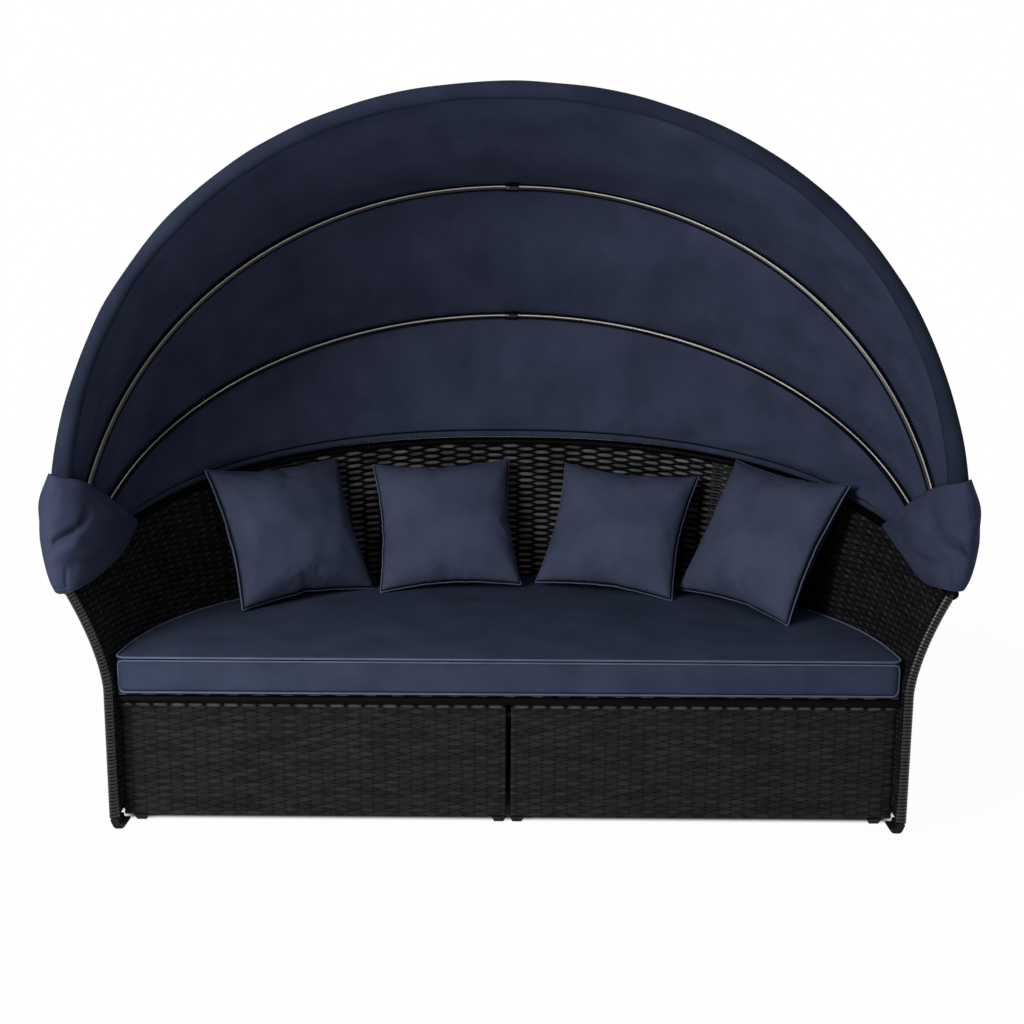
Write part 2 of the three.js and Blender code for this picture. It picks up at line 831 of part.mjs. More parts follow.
// Half a bow: a bent tube whose flattened end is an eye for the pivot bolt.
function bowHalf(bow) {
  const start = angleAtDepth(tubeStart, bow.reach, bow.exponent);
  const end = Math.acos((bowJointGap / 2 / bow.halfWidth) ** (bow.exponent / 2));
  const path = new FunctionCurve((angle) => bowPlanePoint(bow, angle), start, end);
  const tube = tubeAlong(path, bow.diameter, halfBowSteps, bow.diameter - 2 * tubeWall);
  const halfStrap = bow.diameter / 2 - tubeWall;
  const open = Math.asin(halfStrap / eyeRadius);
  const outline = new THREE.Shape();
  outline.absarc(0, 0, eyeRadius, open, 2 * Math.PI - open);
  outline.lineTo(eyeLength, -halfStrap);
  outline.lineTo(eyeLength, halfStrap);
  const hole = new THREE.Path();
  hole.absarc(0, 0, boltDiameter / 2 + contactGap, 0, 2 * Math.PI, true);
  outline.holes.push(hole);
  return join(tube, plateAcross(outline, bow.halfWidth, eyeThickness));
}

// The short sleeve that joins a bow's two halves.
function bowCoupler(bow) {
  const radius = bow.diameter / 2 + couplerClearance;
  const section = new THREE.Shape();
  section.absarc(0, 0, radius + couplerWall, 0, 2 * Math.PI);
  const hole = new THREE.Path();
  hole.absarc(0, 0, radius, 0, 2 * Math.PI, true);
  section.holes.push(hole);
  return plateAcross(section, 0, couplerLength, tubeSides).translate(0, bow.reach, 0);
}

function bowGroup(bow, name) {
  const group = new THREE.Group();
  group.position.set(0, pivotBack, pivotHeight);
  group.rotation.x = radians(bow.tilt);
  group.add(...pair(name + "_tube", bowHalf(bow), "tube"));
  group.add(mesh(name + "_coupler", bowCoupler(bow), "tube"));
  return group;
}

function hoopSleeve() {
  const start = angleAtDepth(sleeveStart, frontHoop.reach, frontHoop.exponent);
  const path = new FunctionCurve((angle) => bowPlanePoint(frontHoop, angle), start, left - start);
  return tubeAlong(path, sleeveDiameter, 2 * halfBowSteps, sleeveDiameter - 2 * sleeveWall);
}

// Lines across the canopy, each a function of a share from the right end to the left one.
function bowLine(bow) {
  const start = angleAtDepth(panelStart, bow.reach, bow.exponent);
  return (share) => bowPoint(bow, THREE.MathUtils.lerp(start, left - start, share));
}

function rimLine(share) {
  const start = rimAngleAt(hemCover);
  return rimPoint(THREE.MathUtils.lerp(start, left - start, share));
}

// The fabric's two directions at a line: up across the canopy, and out from it.
function fabricFrame(line, before, after, share) {
  const step = 1 / panelColumns / 2;
  const low = Math.max(0, share - step);
  const high = Math.min(1, share + step);
  const along = line(high).clone().sub(line(low)).normalize();
  const up = after(share).clone().sub(before(share));
  up.addScaledVector(along, -up.dot(along)).normalize();
  return { up, out: new THREE.Vector3().crossVectors(along, up).normalize() };
}

// A fabric panel between two lines, each with its neighbours, a lift and a start along it.
function fabricPanel(low, high, thickness, rows = panelRows) {
  const faces = [[], []];
  for (let row = 0; row <= rows; row++) {
    const lines = [[], []];
    for (let column = 0; column <= panelColumns; column++) {
      const share = column / panelColumns;
      const [bottom, top] = [low, high].map(({ line, before, after, lift, shift }) => {
        const { up, out } = fabricFrame(line, before, after, share);
        return { out, point: line(share).addScaledVector(out, lift).addScaledVector(up, shift) };
      });
      const point = bottom.point.clone().lerp(top.point, row / rows);
      const out = bottom.out.clone().lerp(top.out, row / rows).normalize();
      lines[0].push(point);
      lines[1].push(point.clone().addScaledVector(out, thickness));
    }
    faces[0].push(lines[0]);
    faces[1].push(lines[1]);
  }
  return sheetSolid(faces[0], faces[1]);
}

function canopyFabric() {
  const lower = bowLine(lowerBow);
  const upper = bowLine(upperBow);
  const hoop = bowLine(frontHoop);
  const lift = couplerRadius + fabricEase;
  const hemStart = rimDiameter / 2 + contactGap;
  const hemEnd = hemStart + hemHeight;
  const atRim = { line: rimLine, before: rimLine, after: lower, lift: -hemThickness / 2 };
  const atLower = { line: lower, before: rimLine, after: upper, lift };
  const atUpper = { line: upper, before: lower, after: hoop, lift };
  const atHoop = { line: hoop, before: upper, after: hoop, lift: frontPanelLift };
  const half = seamGap / 2;
  const sleeveSide = -(sleeveDiameter / 2 + contactGap);
  const hemFoot = { ...atRim, shift: hemStart };
  const hem = fabricPanel(hemFoot, { ...atRim, shift: hemEnd }, hemThickness, 1);
  const rear = fabricPanel(
    { ...atRim, shift: hemEnd + contactGap },
    { ...atLower, shift: -half },
    fabricThickness,
  );
  const middle = fabricPanel(
    { ...atLower, shift: half },
    { ...atUpper, shift: -half },
    fabricThickness,
  );
  const front = fabricPanel(
    { ...atUpper, shift: half },
    { ...atHoop, shift: sleeveSide },
    fabricThickness,
  );
  return [
    mesh("canopy_rear_hem", hem, "fabric"),
    mesh("canopy_rear_panel", rear, "fabric"),
    mesh("canopy_middle_panel", middle, "fabric"),
    mesh("canopy_front_panel", front, "fabric"),
  ];
}

// A smooth line through points given as shares of the cap's reach.
function capLine(shares) {
  const points = shares.map(
    ([x, y, z]) =>
      new THREE.Vector3(
        frontHoop.halfWidth + x * capReach,
        pivotBack + y * capReach,
        pivotHeight + z * capReach,
      ),
  );
  return new THREE.CatmullRomCurve3(points, false, "centripetal");
}

// The pouch over an arm's front corner, bulging between its top edge and its hem.
function canopyCap() {
  const lines = [capLine(capHemShares), capLine(capMiddleShares), capLine(capTopShares)];
  const grid = [];
  for (let row = 0; row <= capRows; row++) {
    const up = row / capRows;
    const weights = [(1 - up) * (1 - 2 * up), 4 * up * (1 - up), up * (2 * up - 1)];
    const line = [];
    for (let column = 0; column <= capColumns; column++) {
      const point = new THREE.Vector3();
      lines.forEach((curve, index) => {
        point.addScaledVector(curve.getPoint(column / capColumns), weights[index]);
      });
      line.push(point);
    }
    grid.push(line);
  }
  return sheetSolid(...thickened(grid, fabricThickness));
}

// The bracket on the rim: a saddle that fits the tube, and an eye plate for the bolt.
function pivotBracket() {
  const seat = rimPoint(rimAngleAt(pivotBack));
  const top = seat.z + saddleHeight;
  const low = seat.z + saddleLip;
  const plate = new THREE.Shape();
  const shoulder = Math.asin((pivotHeight - top) / (bracketEyeRadius + pivotHeight - top)) / 2;
  plate.absarc(pivotBack, pivotHeight, bracketEyeRadius, -shoulder, Math.PI + shoulder);
  plate.lineTo(pivotBack - saddleLength / 2, low);
  plate.lineTo(pivotBack + saddleLength / 2, low);
  const hole = new THREE.Path();
  hole.absarc(pivotBack, pivotHeight, boltDiameter / 2 + contactGap, 0, 2 * Math.PI, true);
  plate.holes.push(hole);
  const inside = bracketPlace - bracketThickness / 2;
  const saddle = new THREE.BoxGeometry(saddleWidth, saddleLength, top - low);
  saddle.translate(inside + saddleWidth / 2, pivotBack, (top + low) / 2);
  const plain = join(plateAcross(plate, bracketPlace, bracketThickness), saddle);
  return cut(plain, rimTube(2 * contactGap));
}

// The bolt runs outwards from its head, inside the lower bow's eye, to past the nut.
function pivotBolt() {
  const headEnd = lowerBow.halfWidth - eyeThickness / 2 - contactGap;
  const nutStart = frontHoop.halfWidth + eyeThickness / 2 + contactGap;
  const head = barAcross(headEnd - boltHeadThickness, headEnd, boltHeadWidth, 6);
  const shank = barAcross(
    headEnd - boltHeadThickness / 2,
    nutStart + nutThickness + boltTail,
    boltDiameter,
    2 * tubeSides,
  );
  return join(head, shank).translate(0, pivotBack, pivotHeight);
}

function pivotNut() {
  const start = frontHoop.halfWidth + eyeThickness / 2 + contactGap;
  const nut = barAcross(start, start + nutThickness, nutWidth, 6);
  const bore = barAcross(
    start - overrun,
    start + nutThickness + overrun,
    boltDiameter + contactGap,
    2 * tubeSides,
  );
  return cut(nut, bore).translate(0, pivotBack, pivotHeight);
}

function shellPieces() {
  const half = wallThickness / 2;
  const pieces = [
    mesh("wall_inner_weave", skin(-half, skinThickness - half), "wicker"),
    mesh("wall_outer_weave", skin(half - skinThickness, half), "wicker"),
    mesh("rim_tube", rimTube(), "wicker"),
    mesh("base_ring", baseRing(), "wicker"),
    ...pair("front_post", frontPost(), "wicker"),
    mesh("seat_front_rail", frontRail(), "tube"),
    mesh("seat_curved_rail", ringRail(), "tube"),
    mesh("seat_deck_weave", seatDeck(), "wicker"),
    ...pair("front_foot", frontFoot(), "rubber"),
  ];
  backPostColumns.forEach((column, index) => {
    pieces.push(mesh("back_post_" + (index + 1), backPost(skinAngles()[column]), "tube"));
  });
  crossTubeShares.forEach((share, index) => {
    pieces.push(mesh("seat_cross_tube_" + (index + 1), crossTube(share), "tube"));
  });
  rearFootAngles.forEach((angle, index) => {
    pieces.push(mesh("rear_foot_" + (index + 1), rearFoot(radians(angle)), "rubber"));
  });
  return pieces;
}

function pivotPieces() {
  return [
    ...pair("pivot_bracket", pivotBracket(), "tube"),
    ...pair("pivot_bolt", pivotBolt(), "steel"),
    ...pair("pivot_nut", pivotNut(), "steel"),
    ...pair("canopy_cap", canopyCap(), "fabric"),
  ];
}

function daybed() {
  const group = new THREE.Group();
  const hoop = bowGroup(frontHoop, "front_hoop");
  hoop.add(mesh("front_hoop_sleeve", hoopSleeve(), "fabric"));
  group.add(...shellPieces(), ...pivotPieces(), ...canopyFabric(), ...ottoman());
  group.add(bowGroup(lowerBow, "lower_bow"), bowGroup(upperBow, "upper_bow"), hoop);
  group.add(mesh("seat_cushion", seatCushion(), "fabric"), ...pillows.map(pillowMesh));
  const box = new THREE.Box3().setFromObject(group);
  group.position.y = -(box.min.y + box.max.y) / 2;
  return group;
}

export default daybed();
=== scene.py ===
"""Looks of the outdoor daybed with a folding canopy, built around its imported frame.

Lengths are millimetres in the part's own axes: x to the right seen from the front, y behind the
arms' front plane and z above the ground. One function turns them to metres in the frame.
"""

import json
import logging
import math
from collections.abc import Callable
from dataclasses import dataclass, field
from enum import Enum

import bpy
import numpy as np
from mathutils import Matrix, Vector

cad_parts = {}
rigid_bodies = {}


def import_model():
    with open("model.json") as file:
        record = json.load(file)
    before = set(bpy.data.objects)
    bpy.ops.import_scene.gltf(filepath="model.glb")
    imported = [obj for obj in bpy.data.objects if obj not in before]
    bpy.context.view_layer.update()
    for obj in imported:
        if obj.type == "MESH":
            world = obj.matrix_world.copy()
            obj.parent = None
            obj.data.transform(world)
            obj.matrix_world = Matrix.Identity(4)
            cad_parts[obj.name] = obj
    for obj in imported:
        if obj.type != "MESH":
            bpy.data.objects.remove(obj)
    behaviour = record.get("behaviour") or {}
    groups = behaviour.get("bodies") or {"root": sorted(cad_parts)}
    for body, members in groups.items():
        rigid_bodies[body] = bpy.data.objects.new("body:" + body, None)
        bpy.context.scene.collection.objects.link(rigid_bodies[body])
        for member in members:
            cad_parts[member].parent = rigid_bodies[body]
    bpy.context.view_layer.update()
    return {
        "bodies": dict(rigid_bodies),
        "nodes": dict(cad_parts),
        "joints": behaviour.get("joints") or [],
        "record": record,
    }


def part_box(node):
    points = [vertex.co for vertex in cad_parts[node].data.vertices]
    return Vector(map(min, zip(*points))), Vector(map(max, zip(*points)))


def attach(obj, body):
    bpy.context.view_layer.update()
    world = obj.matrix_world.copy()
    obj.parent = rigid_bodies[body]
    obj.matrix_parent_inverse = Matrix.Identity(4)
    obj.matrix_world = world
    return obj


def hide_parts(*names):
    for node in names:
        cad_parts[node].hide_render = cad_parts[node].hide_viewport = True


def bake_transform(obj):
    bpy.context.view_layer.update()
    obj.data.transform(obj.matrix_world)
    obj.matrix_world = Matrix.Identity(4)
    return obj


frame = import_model()

Array = np.ndarray
Material = bpy.types.Material
Node = bpy.types.Node
Tree = bpy.types.NodeTree
log = logging.getLogger("daybed")

# What surface takes after a piece's name: rings, how they end, places on the cloth and a mark.
Shape = tuple[Array, "Ends", Array, tuple[str, Array]]

MM = 0.001
UP = np.array([0.0, 0.0, 1.0])
SIDES = ((1, "right"), (-1, "left"))
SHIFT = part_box("front_foot_right")[0].y


# ---------------------------------------------------------------- frame, arrays and meshes


def to_frame(points: Array) -> Array:
    """Turns millimetres in the part's axes to metres in the frame, by a scale and a shift along y.

    Args:
        points: places in millimetres, with x, y and z last.

    Returns:
        The same places in metres.
    """
    moved = np.asarray(points, float) * MM
    moved[..., 1] += SHIFT
    return moved


def unit(vectors: Array) -> Array:
    """Returns the vectors scaled to length one."""
    return vectors / np.maximum(np.linalg.norm(vectors, axis=-1, keepdims=True), 1e-9)


def square_to(grid: Array) -> Array:
    """Returns the directions square to a grid of points, of length one."""
    return unit(np.cross(np.gradient(grid, axis=0), np.gradient(grid, axis=1)))


def lengths_along(points: Array) -> Array:
    """Returns the length run from the first point to each point of a line."""
    steps = np.linalg.norm(np.diff(points, axis=0), axis=1)
    return np.concatenate([[0.0], np.cumsum(steps)])


def smooth(value: Array, low: float, high: float) -> Array:
    """Returns 0 below low, 1 above high and 3t^2 - 2t^3 between them."""
    t = np.clip((value - low) / (high - low), 0, 1)
    return t * t * (3 - 2 * t)


def hump(value: Array, middle: float, width: float) -> Array:
    """Returns a bell exp(-((value - middle) / width)^2)."""
    return np.exp(-(((value - middle) / width) ** 2))


def beside(*parts: Array) -> Array:
    """Returns the arrays spread to one shape and set side by side in a new last place."""
    return np.stack(np.broadcast_arrays(*parts), -1)


def raised(flat: Array, height: Array | float) -> Array:
    """Returns places in plan with a height as their last value."""
    return np.concatenate([flat, np.broadcast_to(height, flat.shape[:-1])[..., None]], -1)


def closed(line: Array) -> Array:
    """Returns a line with its first point again at its end."""
    return np.concatenate([line, line[:1]])


def round_angles(count: int) -> Array:
    """Returns equal angles round a circle from 0, without a repeat of the first."""
    return np.arange(count) * (2 * math.pi / count)


def ripple(u: Array, v: Array, size: float, seed: int, waves: int = 14) -> Array:
    """Soft unevenness: the mean of sine waves whose directions, lengths and phases are seeded.

    Args:
        u: first coordinate, in the unit of size.
        v: second coordinate.
        size: typical wavelength.
        seed: chooses the waves.
        waves: how many waves are summed.

    Returns:
        Values of about -1 to 1, in the shape of u and v.
    """
    rng = np.random.default_rng(seed)
    turn = rng.uniform(0, 2 * math.pi, waves)
    pace = 2 * math.pi / (size * rng.uniform(0.6, 1.8, waves))
    phase = rng.uniform(0, 2 * math.pi, waves)
    along = np.multiply.outer(u, np.cos(turn) * pace) + np.multiply.outer(v, np.sin(turn) * pace)
    return np.sin(along + phase).sum(-1) / math.sqrt(waves)


def stroke(
    u: Array, v: Array, start: tuple[float, float], end: tuple[float, float], width: float
) -> Array:
    """A soft ridge from one place to another: exp(-(d / width)^2), tapering at both ends.

    Args:
        u: first coordinate.
        v: second coordinate.
        start: where the ridge starts.
        end: where it ends.
        width: its half width; d is the distance from its line.

    Returns:
        1 on the ridge's line and 0 away from it.
    """
    across, up = end[0] - start[0], end[1] - start[1]
    length = math.hypot(across, up)
    run = ((u - start[0]) * across + (v - start[1]) * up) / length**2
    away = ((u - start[0]) * up - (v - start[1]) * across) / length
    return hump(away, 0, width) * smooth(run, -0.15, 0.25) * (1 - smooth(run, 0.75, 1.15))


def placed(name: str, data: bpy.types.ID) -> bpy.types.Object:
    """Returns a new object of that data, in the scene."""
    made = bpy.data.objects.new(name, data)
    bpy.context.scene.collection.objects.link(made)
    return made


class Ends(Enum):
    """How a surface's first and last rings are closed."""

    FAN = "a fan to the ring's middle"
    STRIP = "a strip between the ring's two halves"
    JOINED = "to each other"


def surface(
    name: str,
    points: Array,
    ends: Ends,
    uv: Array | None = None,
    mark: tuple[str, Array] | None = None,
) -> bpy.types.Object:
    """Makes a closed mesh from rings of points, each joined to itself and to the next ring.

    Args:
        name: the object's name.
        points: rings by points by 3, in millimetres.
        ends: how the first and last rings are closed.
        uv: a place on the cloth or weave for each point, with one more ring and point where
            they join, or none.
        mark: the name of an attribute and its value at each point, or none.

    Returns:
        The object, at the origin, with its faces pointing outwards.
    """
    rings, around = points.shape[:2]
    joined = ends is Ends.JOINED
    ring, spot = np.meshgrid(
        np.arange(rings if joined else rings - 1), np.arange(around), indexing="ij"
    )
    ring = ring.ravel()[:, None] + np.array([0, 1, 1, 0])
    spot = spot.ravel()[:, None] + np.array([0, 0, 1, 1])
    quads = (ring % rings) * around + spot % around
    vertices = points.reshape(-1, 3)
    if uv is None:
        uv = np.zeros((rings + joined, around + 1, 2))
    corners = uv[ring, spot].reshape(-1, 2)
    triangles = np.zeros((0, 3), int)
    if ends is Ends.FAN:
        middles = points[[0, -1]].mean(axis=1)
        first = len(vertices)
        vertices = np.concatenate([vertices, middles])
        low = np.arange(around)
        high = (low + 1) % around
        last = (rings - 1) * around
        triangles = np.concatenate(
            [
                np.stack([low, high, np.full(around, first)], 1),
                np.stack([last + high, last + low, np.full(around, first + 1)], 1),
            ]
        )
        edge = np.stack([uv[0, :-1], uv[0, 1:], uv[0, 1:]], 1)
        other = np.stack([uv[-1, 1:], uv[-1, :-1], uv[-1, 1:]], 1)
        corners = np.concatenate([corners, edge.reshape(-1, 2), other.reshape(-1, 2)])
    elif ends is Ends.STRIP:
        half = around // 2
        low = np.arange(half - 1)
        strip = np.stack([low + 1, low, around - 1 - low, around - 2 - low], 1)
        last = (rings - 1) * around
        quads = np.concatenate([quads, strip[:, ::-1], last + strip])
        corners = np.concatenate(
            [corners, uv[0][strip[:, ::-1]].reshape(-1, 2), uv[-1][strip].reshape(-1, 2)]
        )
    thirds = np.concatenate([quads[:, :3], quads[:, [0, 2, 3]], triangles])
    a, b, c = (vertices[thirds[:, i]] for i in range(3))
    volume = (a * np.cross(b, c)).sum()
    corner_quads = corners[: quads.size].reshape(-1, 4, 2)
    corner_triangles = corners[quads.size :].reshape(-1, 3, 2)
    if volume < 0:
        quads, triangles = quads[:, ::-1], triangles[:, ::-1]
        corner_quads, corner_triangles = corner_quads[:, ::-1], corner_triangles[:, ::-1]
    mesh = bpy.data.meshes.new(name)
    mesh.vertices.add(len(vertices))
    mesh.vertices.foreach_set("co", to_frame(vertices).astype(np.float32).ravel())
    mesh.loops.add(quads.size + triangles.size)
    mesh.loops.foreach_set("vertex_index", np.concatenate([quads.ravel(), triangles.ravel()]))
    starts = np.concatenate([np.arange(len(quads)) * 4, quads.size + np.arange(len(triangles)) * 3])
    mesh.polygons.add(len(starts))
    mesh.polygons.foreach_set("loop_start", starts)
    rounded = np.ones(len(starts), bool)
    if ends is not Ends.JOINED:
        rounded[(rings - 1) * around :] = False
    mesh.polygons.foreach_set("use_smooth", rounded)
    layer = mesh.uv_layers.new(name="UVMap")
    both = np.concatenate([corner_quads.reshape(-1, 2), corner_triangles.reshape(-1, 2)])
    layer.data.foreach_set("uv", both.astype(np.float32).ravel())
    if mark is not None:
        values = np.full(len(vertices), mark[1].max(), np.float32)
        values[: mark[1].size] = mark[1].ravel()
        mesh.attributes.new(mark[0], "FLOAT", "POINT").data.foreach_set("value", values)
    mesh.update(calc_edges=True)
    mesh.validate()
    return placed(name, mesh)


def settle(
    piece: bpy.types.Object,
    material: Material,
    body: str = "",
    stands_for: tuple[str, ...] = (),
) -> bpy.types.Object:
    """Gives a piece its finish, its body and the solids that it stands for.

    Args:
        piece: the object.
        material: its finish.
        body: the body that it rides on, or nothing, which leaves it unattached.
        stands_for: names of solids that it replaces.

    Returns:
        The piece.
    """
    piece.data.materials.append(material)
    if body:
        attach(piece, body)
    if stands_for:
        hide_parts(*stands_for)
    log.info("%s: %d faces", piece.name, len(piece.data.polygons))
    return piece


def tube_frames(path: Array, reference: Array) -> tuple[Array, Array]:
    """Two directions square to a path at each point: one near the reference, and the other.

    The tangent is the difference of the neighbours. The side is tangent cross reference, and
    the up is side cross tangent.

    Args:
        path: points by 3.
        reference: one direction for all, or one for each point.

    Returns:
        The side and the up directions, points by 3 each.
    """
    tangent = unit(np.gradient(path, axis=0))
    side = unit(np.cross(tangent, np.broadcast_to(reference, path.shape)))
    return side, np.cross(side, tangent)


def sweep(path: Array, reference: Array, radius: Array, turns: int) -> Array:
    """Rings round a path: point = path + radius (cos a side + sin a up).

    Args:
        path: points by 3.
        reference: the direction that sets where the angle starts.
        radius: one number, one for each point, or points by turns.
        turns: points in each ring.

    Returns:
        Points by turns by 3.
    """
    side, up = tube_frames(path, reference)
    angle = round_angles(turns)
    if np.ndim(radius) < 2:
        radius = np.reshape(radius, (-1, 1))
    wide = np.broadcast_to(radius, (len(path), turns))[..., None]
    return (
        path[:, None]
        + wide * np.cos(angle)[None, :, None] * side[:, None]
        + wide * np.sin(angle)[None, :, None] * up[:, None]
    )


def resample(points: Array, count: int) -> Array:
    """Returns count points at equal steps along a line of points."""
    run = lengths_along(points)
    even = np.linspace(0, run[-1], count)
    return np.stack([np.interp(even, run, points[:, i]) for i in range(3)], 1)


def superellipse(half_width: float, depth: float, exponent: float, angle: Array) -> Array:
    """Points of |x / half_width|^n + (y / depth)^n = 1, from right to left as the angle grows.

    Args:
        half_width: its reach across.
        depth: its reach back.
        exponent: n.
        angle: 0 is the right end and half a turn the left one.

    Returns:
        x and y last.
    """
    along = np.cos(angle)
    x = np.sign(along) * half_width * np.abs(along) ** (2 / exponent)
    y = depth * np.abs(np.sin(angle)) ** (2 / exponent)
    return beside(x, y)


def angle_at_depth(back: float, depth: float, exponent: float) -> float:
    """Returns the angle at which a superellipse of that depth reaches a distance back."""
    return math.asin((back / depth) ** (exponent / 2))


# ---------------------------------------------------------------- the shell's plan and the bows


@dataclass(frozen=True)
class Shell:
    """The woven wall's middle surface: a superellipse in plan that leans out above a height."""

    half_width: float = 803
    depth: float = 750
    exponent: float = 2.3
    wall: float = 20
    flare_start: float = 290
    arm_flare: float = 73
    back_flare: float = 55
    flare_exponent: float = 1.6
    rim_front: float = 503
    rim_back: float = 690

    def plan(self, angle: Array) -> Array:
        """Returns the plan's point at an angle, x and y last."""
        return superellipse(self.half_width, self.depth, self.exponent, angle)

    def normal(self, angle: Array) -> Array:
        """Returns the plan's outward direction at an angle, x and y last."""
        x, y = np.moveaxis(self.plan(angle), -1, 0)
        steep = self.exponent - 1
        return unit(
            beside(
                np.sign(x) * np.abs(x / self.half_width) ** steep / self.half_width,
                (y / self.depth) ** steep / self.depth,
            )
        )

    def flare(self, angle: Array) -> Array:
        """Returns how far the rim stands out from the plan at an angle."""
        return self.arm_flare + (self.back_flare - self.arm_flare) * np.sin(angle)

    def rim_height(self, angle: Array) -> Array:
        """Returns the rim's height: it rises in a straight line with the distance back."""
        back = self.plan(angle)[..., 1] + self.normal(angle)[..., 1] * self.flare(angle)
        share = back / (self.depth + self.back_flare)
        return self.rim_front + (self.rim_back - self.rim_front) * share

    def point(self, angle: Array, height: Array, outward: Array) -> Array:
        """A point of the wall: plan + normal (flare share^1.6 + outward), at a height.

        Args:
            angle: the place along the plan.
            height: millimetres above the ground.
            outward: millimetres out from the wall's middle.

        Returns:
            x, y and z last.
        """
        angle, height, outward = np.broadcast_arrays(angle, height, outward)
        share = (height - self.flare_start) / (self.rim_height(angle) - self.flare_start)
        lean = self.flare(angle) * np.maximum(0, share) ** self.flare_exponent
        return raised(self.plan(angle) + self.normal(angle) * (lean + outward)[..., None], height)

    def angle_at(self, back: float) -> float:
        """Returns the angle at which the right half of the plan is a distance back."""
        return angle_at_depth(back, self.depth, self.exponent)

    def rim(self, angle: Array) -> Array:
        """Returns the rim's middle line at an angle."""
        return self.point(angle, self.rim_height(angle), 0.0)

    def rim_angle_at(self, back: float) -> float:
        """Returns the angle at which the right half of the rim is a distance back."""
        angles = np.linspace(0, math.pi / 2, 20001)
        return float(np.interp(back, self.rim(angles)[:, 1], angles))


SHELL = Shell()


@dataclass(frozen=True)
class Bow:
    """A half ellipse of tube that turns about the pivot axis, tilted up from level at the back."""

    half_width: float
    reach: float
    exponent: float
    tilt: float
    diameter: float = 16
    pivot_back: float = 75
    pivot_height: float = 580

    def plane_point(self, angle: Array) -> Array:
        """Returns points in the bow's own plane, with z zero."""
        return raised(superellipse(self.half_width, self.reach, self.exponent, angle), 0.0)

    def stand(self, flat: Array) -> Array:
        """Turns points in the bow's plane up by its tilt and moves them to the pivot axis."""
        tilt = math.radians(self.tilt)
        x, y, z = np.moveaxis(flat, -1, 0)
        return beside(
            x, self.pivot_back + y * math.cos(tilt) - z * math.sin(tilt),
            self.pivot_height + y * math.sin(tilt) + z * math.cos(tilt),
        )

    def angle_at(self, away: float) -> float:
        """Returns the angle at which the bow's right half is a distance from its axis."""
        return angle_at_depth(away, self.reach, self.exponent)

    def line(self, share: Array, start: float = 130) -> Array:
        """Returns the bow's middle line from its right end at share 0 to its left one at 1."""
        angle = self.angle_at(start)
        return self.stand(self.plane_point(angle + (math.pi - 2 * angle) * np.asarray(share)))


LOWER_BOW = Bow(842, 845, 2.0, 30)
UPPER_BOW = Bow(870, 860, 2.06, 57)
FRONT_HOOP = Bow(896, 881, 2.08, 96, diameter=19)


# ---------------------------------------------------------------- finishes


def linear(colour: str) -> tuple[float, float, float, float]:
    """Turns an sRGB hex colour to linear red, green and blue, with alpha 1."""
    parts = np.array([int(colour[i : i + 2], 16) / 255 for i in (1, 3, 5)])
    low = parts / 12.92
    high = ((parts + 0.055) / 1.055) ** 2.4
    return (*np.where(parts <= 0.04045, low, high).tolist(), 1.0)


def add_node(
    tree: Tree, kind: str, values: dict | None = None, links: dict | None = None,
    **settings: object,
) -> Node:
    """Adds a node with its settings, its sockets' values and its links.

    Args:
        tree: the material's node tree.
        kind: the node's type name after ShaderNode.
        values: socket name or number to value.
        links: socket name or number to the output that feeds it, or to a node for its first one.
        settings: attributes of the node.

    Returns:
        The node.
    """
    node = tree.nodes.new("ShaderNode" + kind)
    for name, value in settings.items():
        setattr(node, name, value)
    for socket, value in (values or {}).items():
        node.inputs[socket].default_value = value
    for socket, source in (links or {}).items():
        output = source.outputs[0] if isinstance(source, Node) else source
        tree.links.new(output, node.inputs[socket])
    return node


def new_material(name: str) -> tuple[Material, Tree]:
    """Returns an empty node material and its tree."""
    material = bpy.data.materials.new(name)
    material.use_nodes = True
    material.node_tree.nodes.clear()
    return material, material.node_tree


def set_stops(ramp: Node, *stops: tuple[float, tuple[float, float, float, float]]) -> None:
    """Puts places with their colours on a colour ramp, in order."""
    points = ramp.color_ramp.elements
    for index, (place, colour) in enumerate(stops):
        point = points[index] if index < 2 else points.new(place)
        point.position, point.color = place, colour


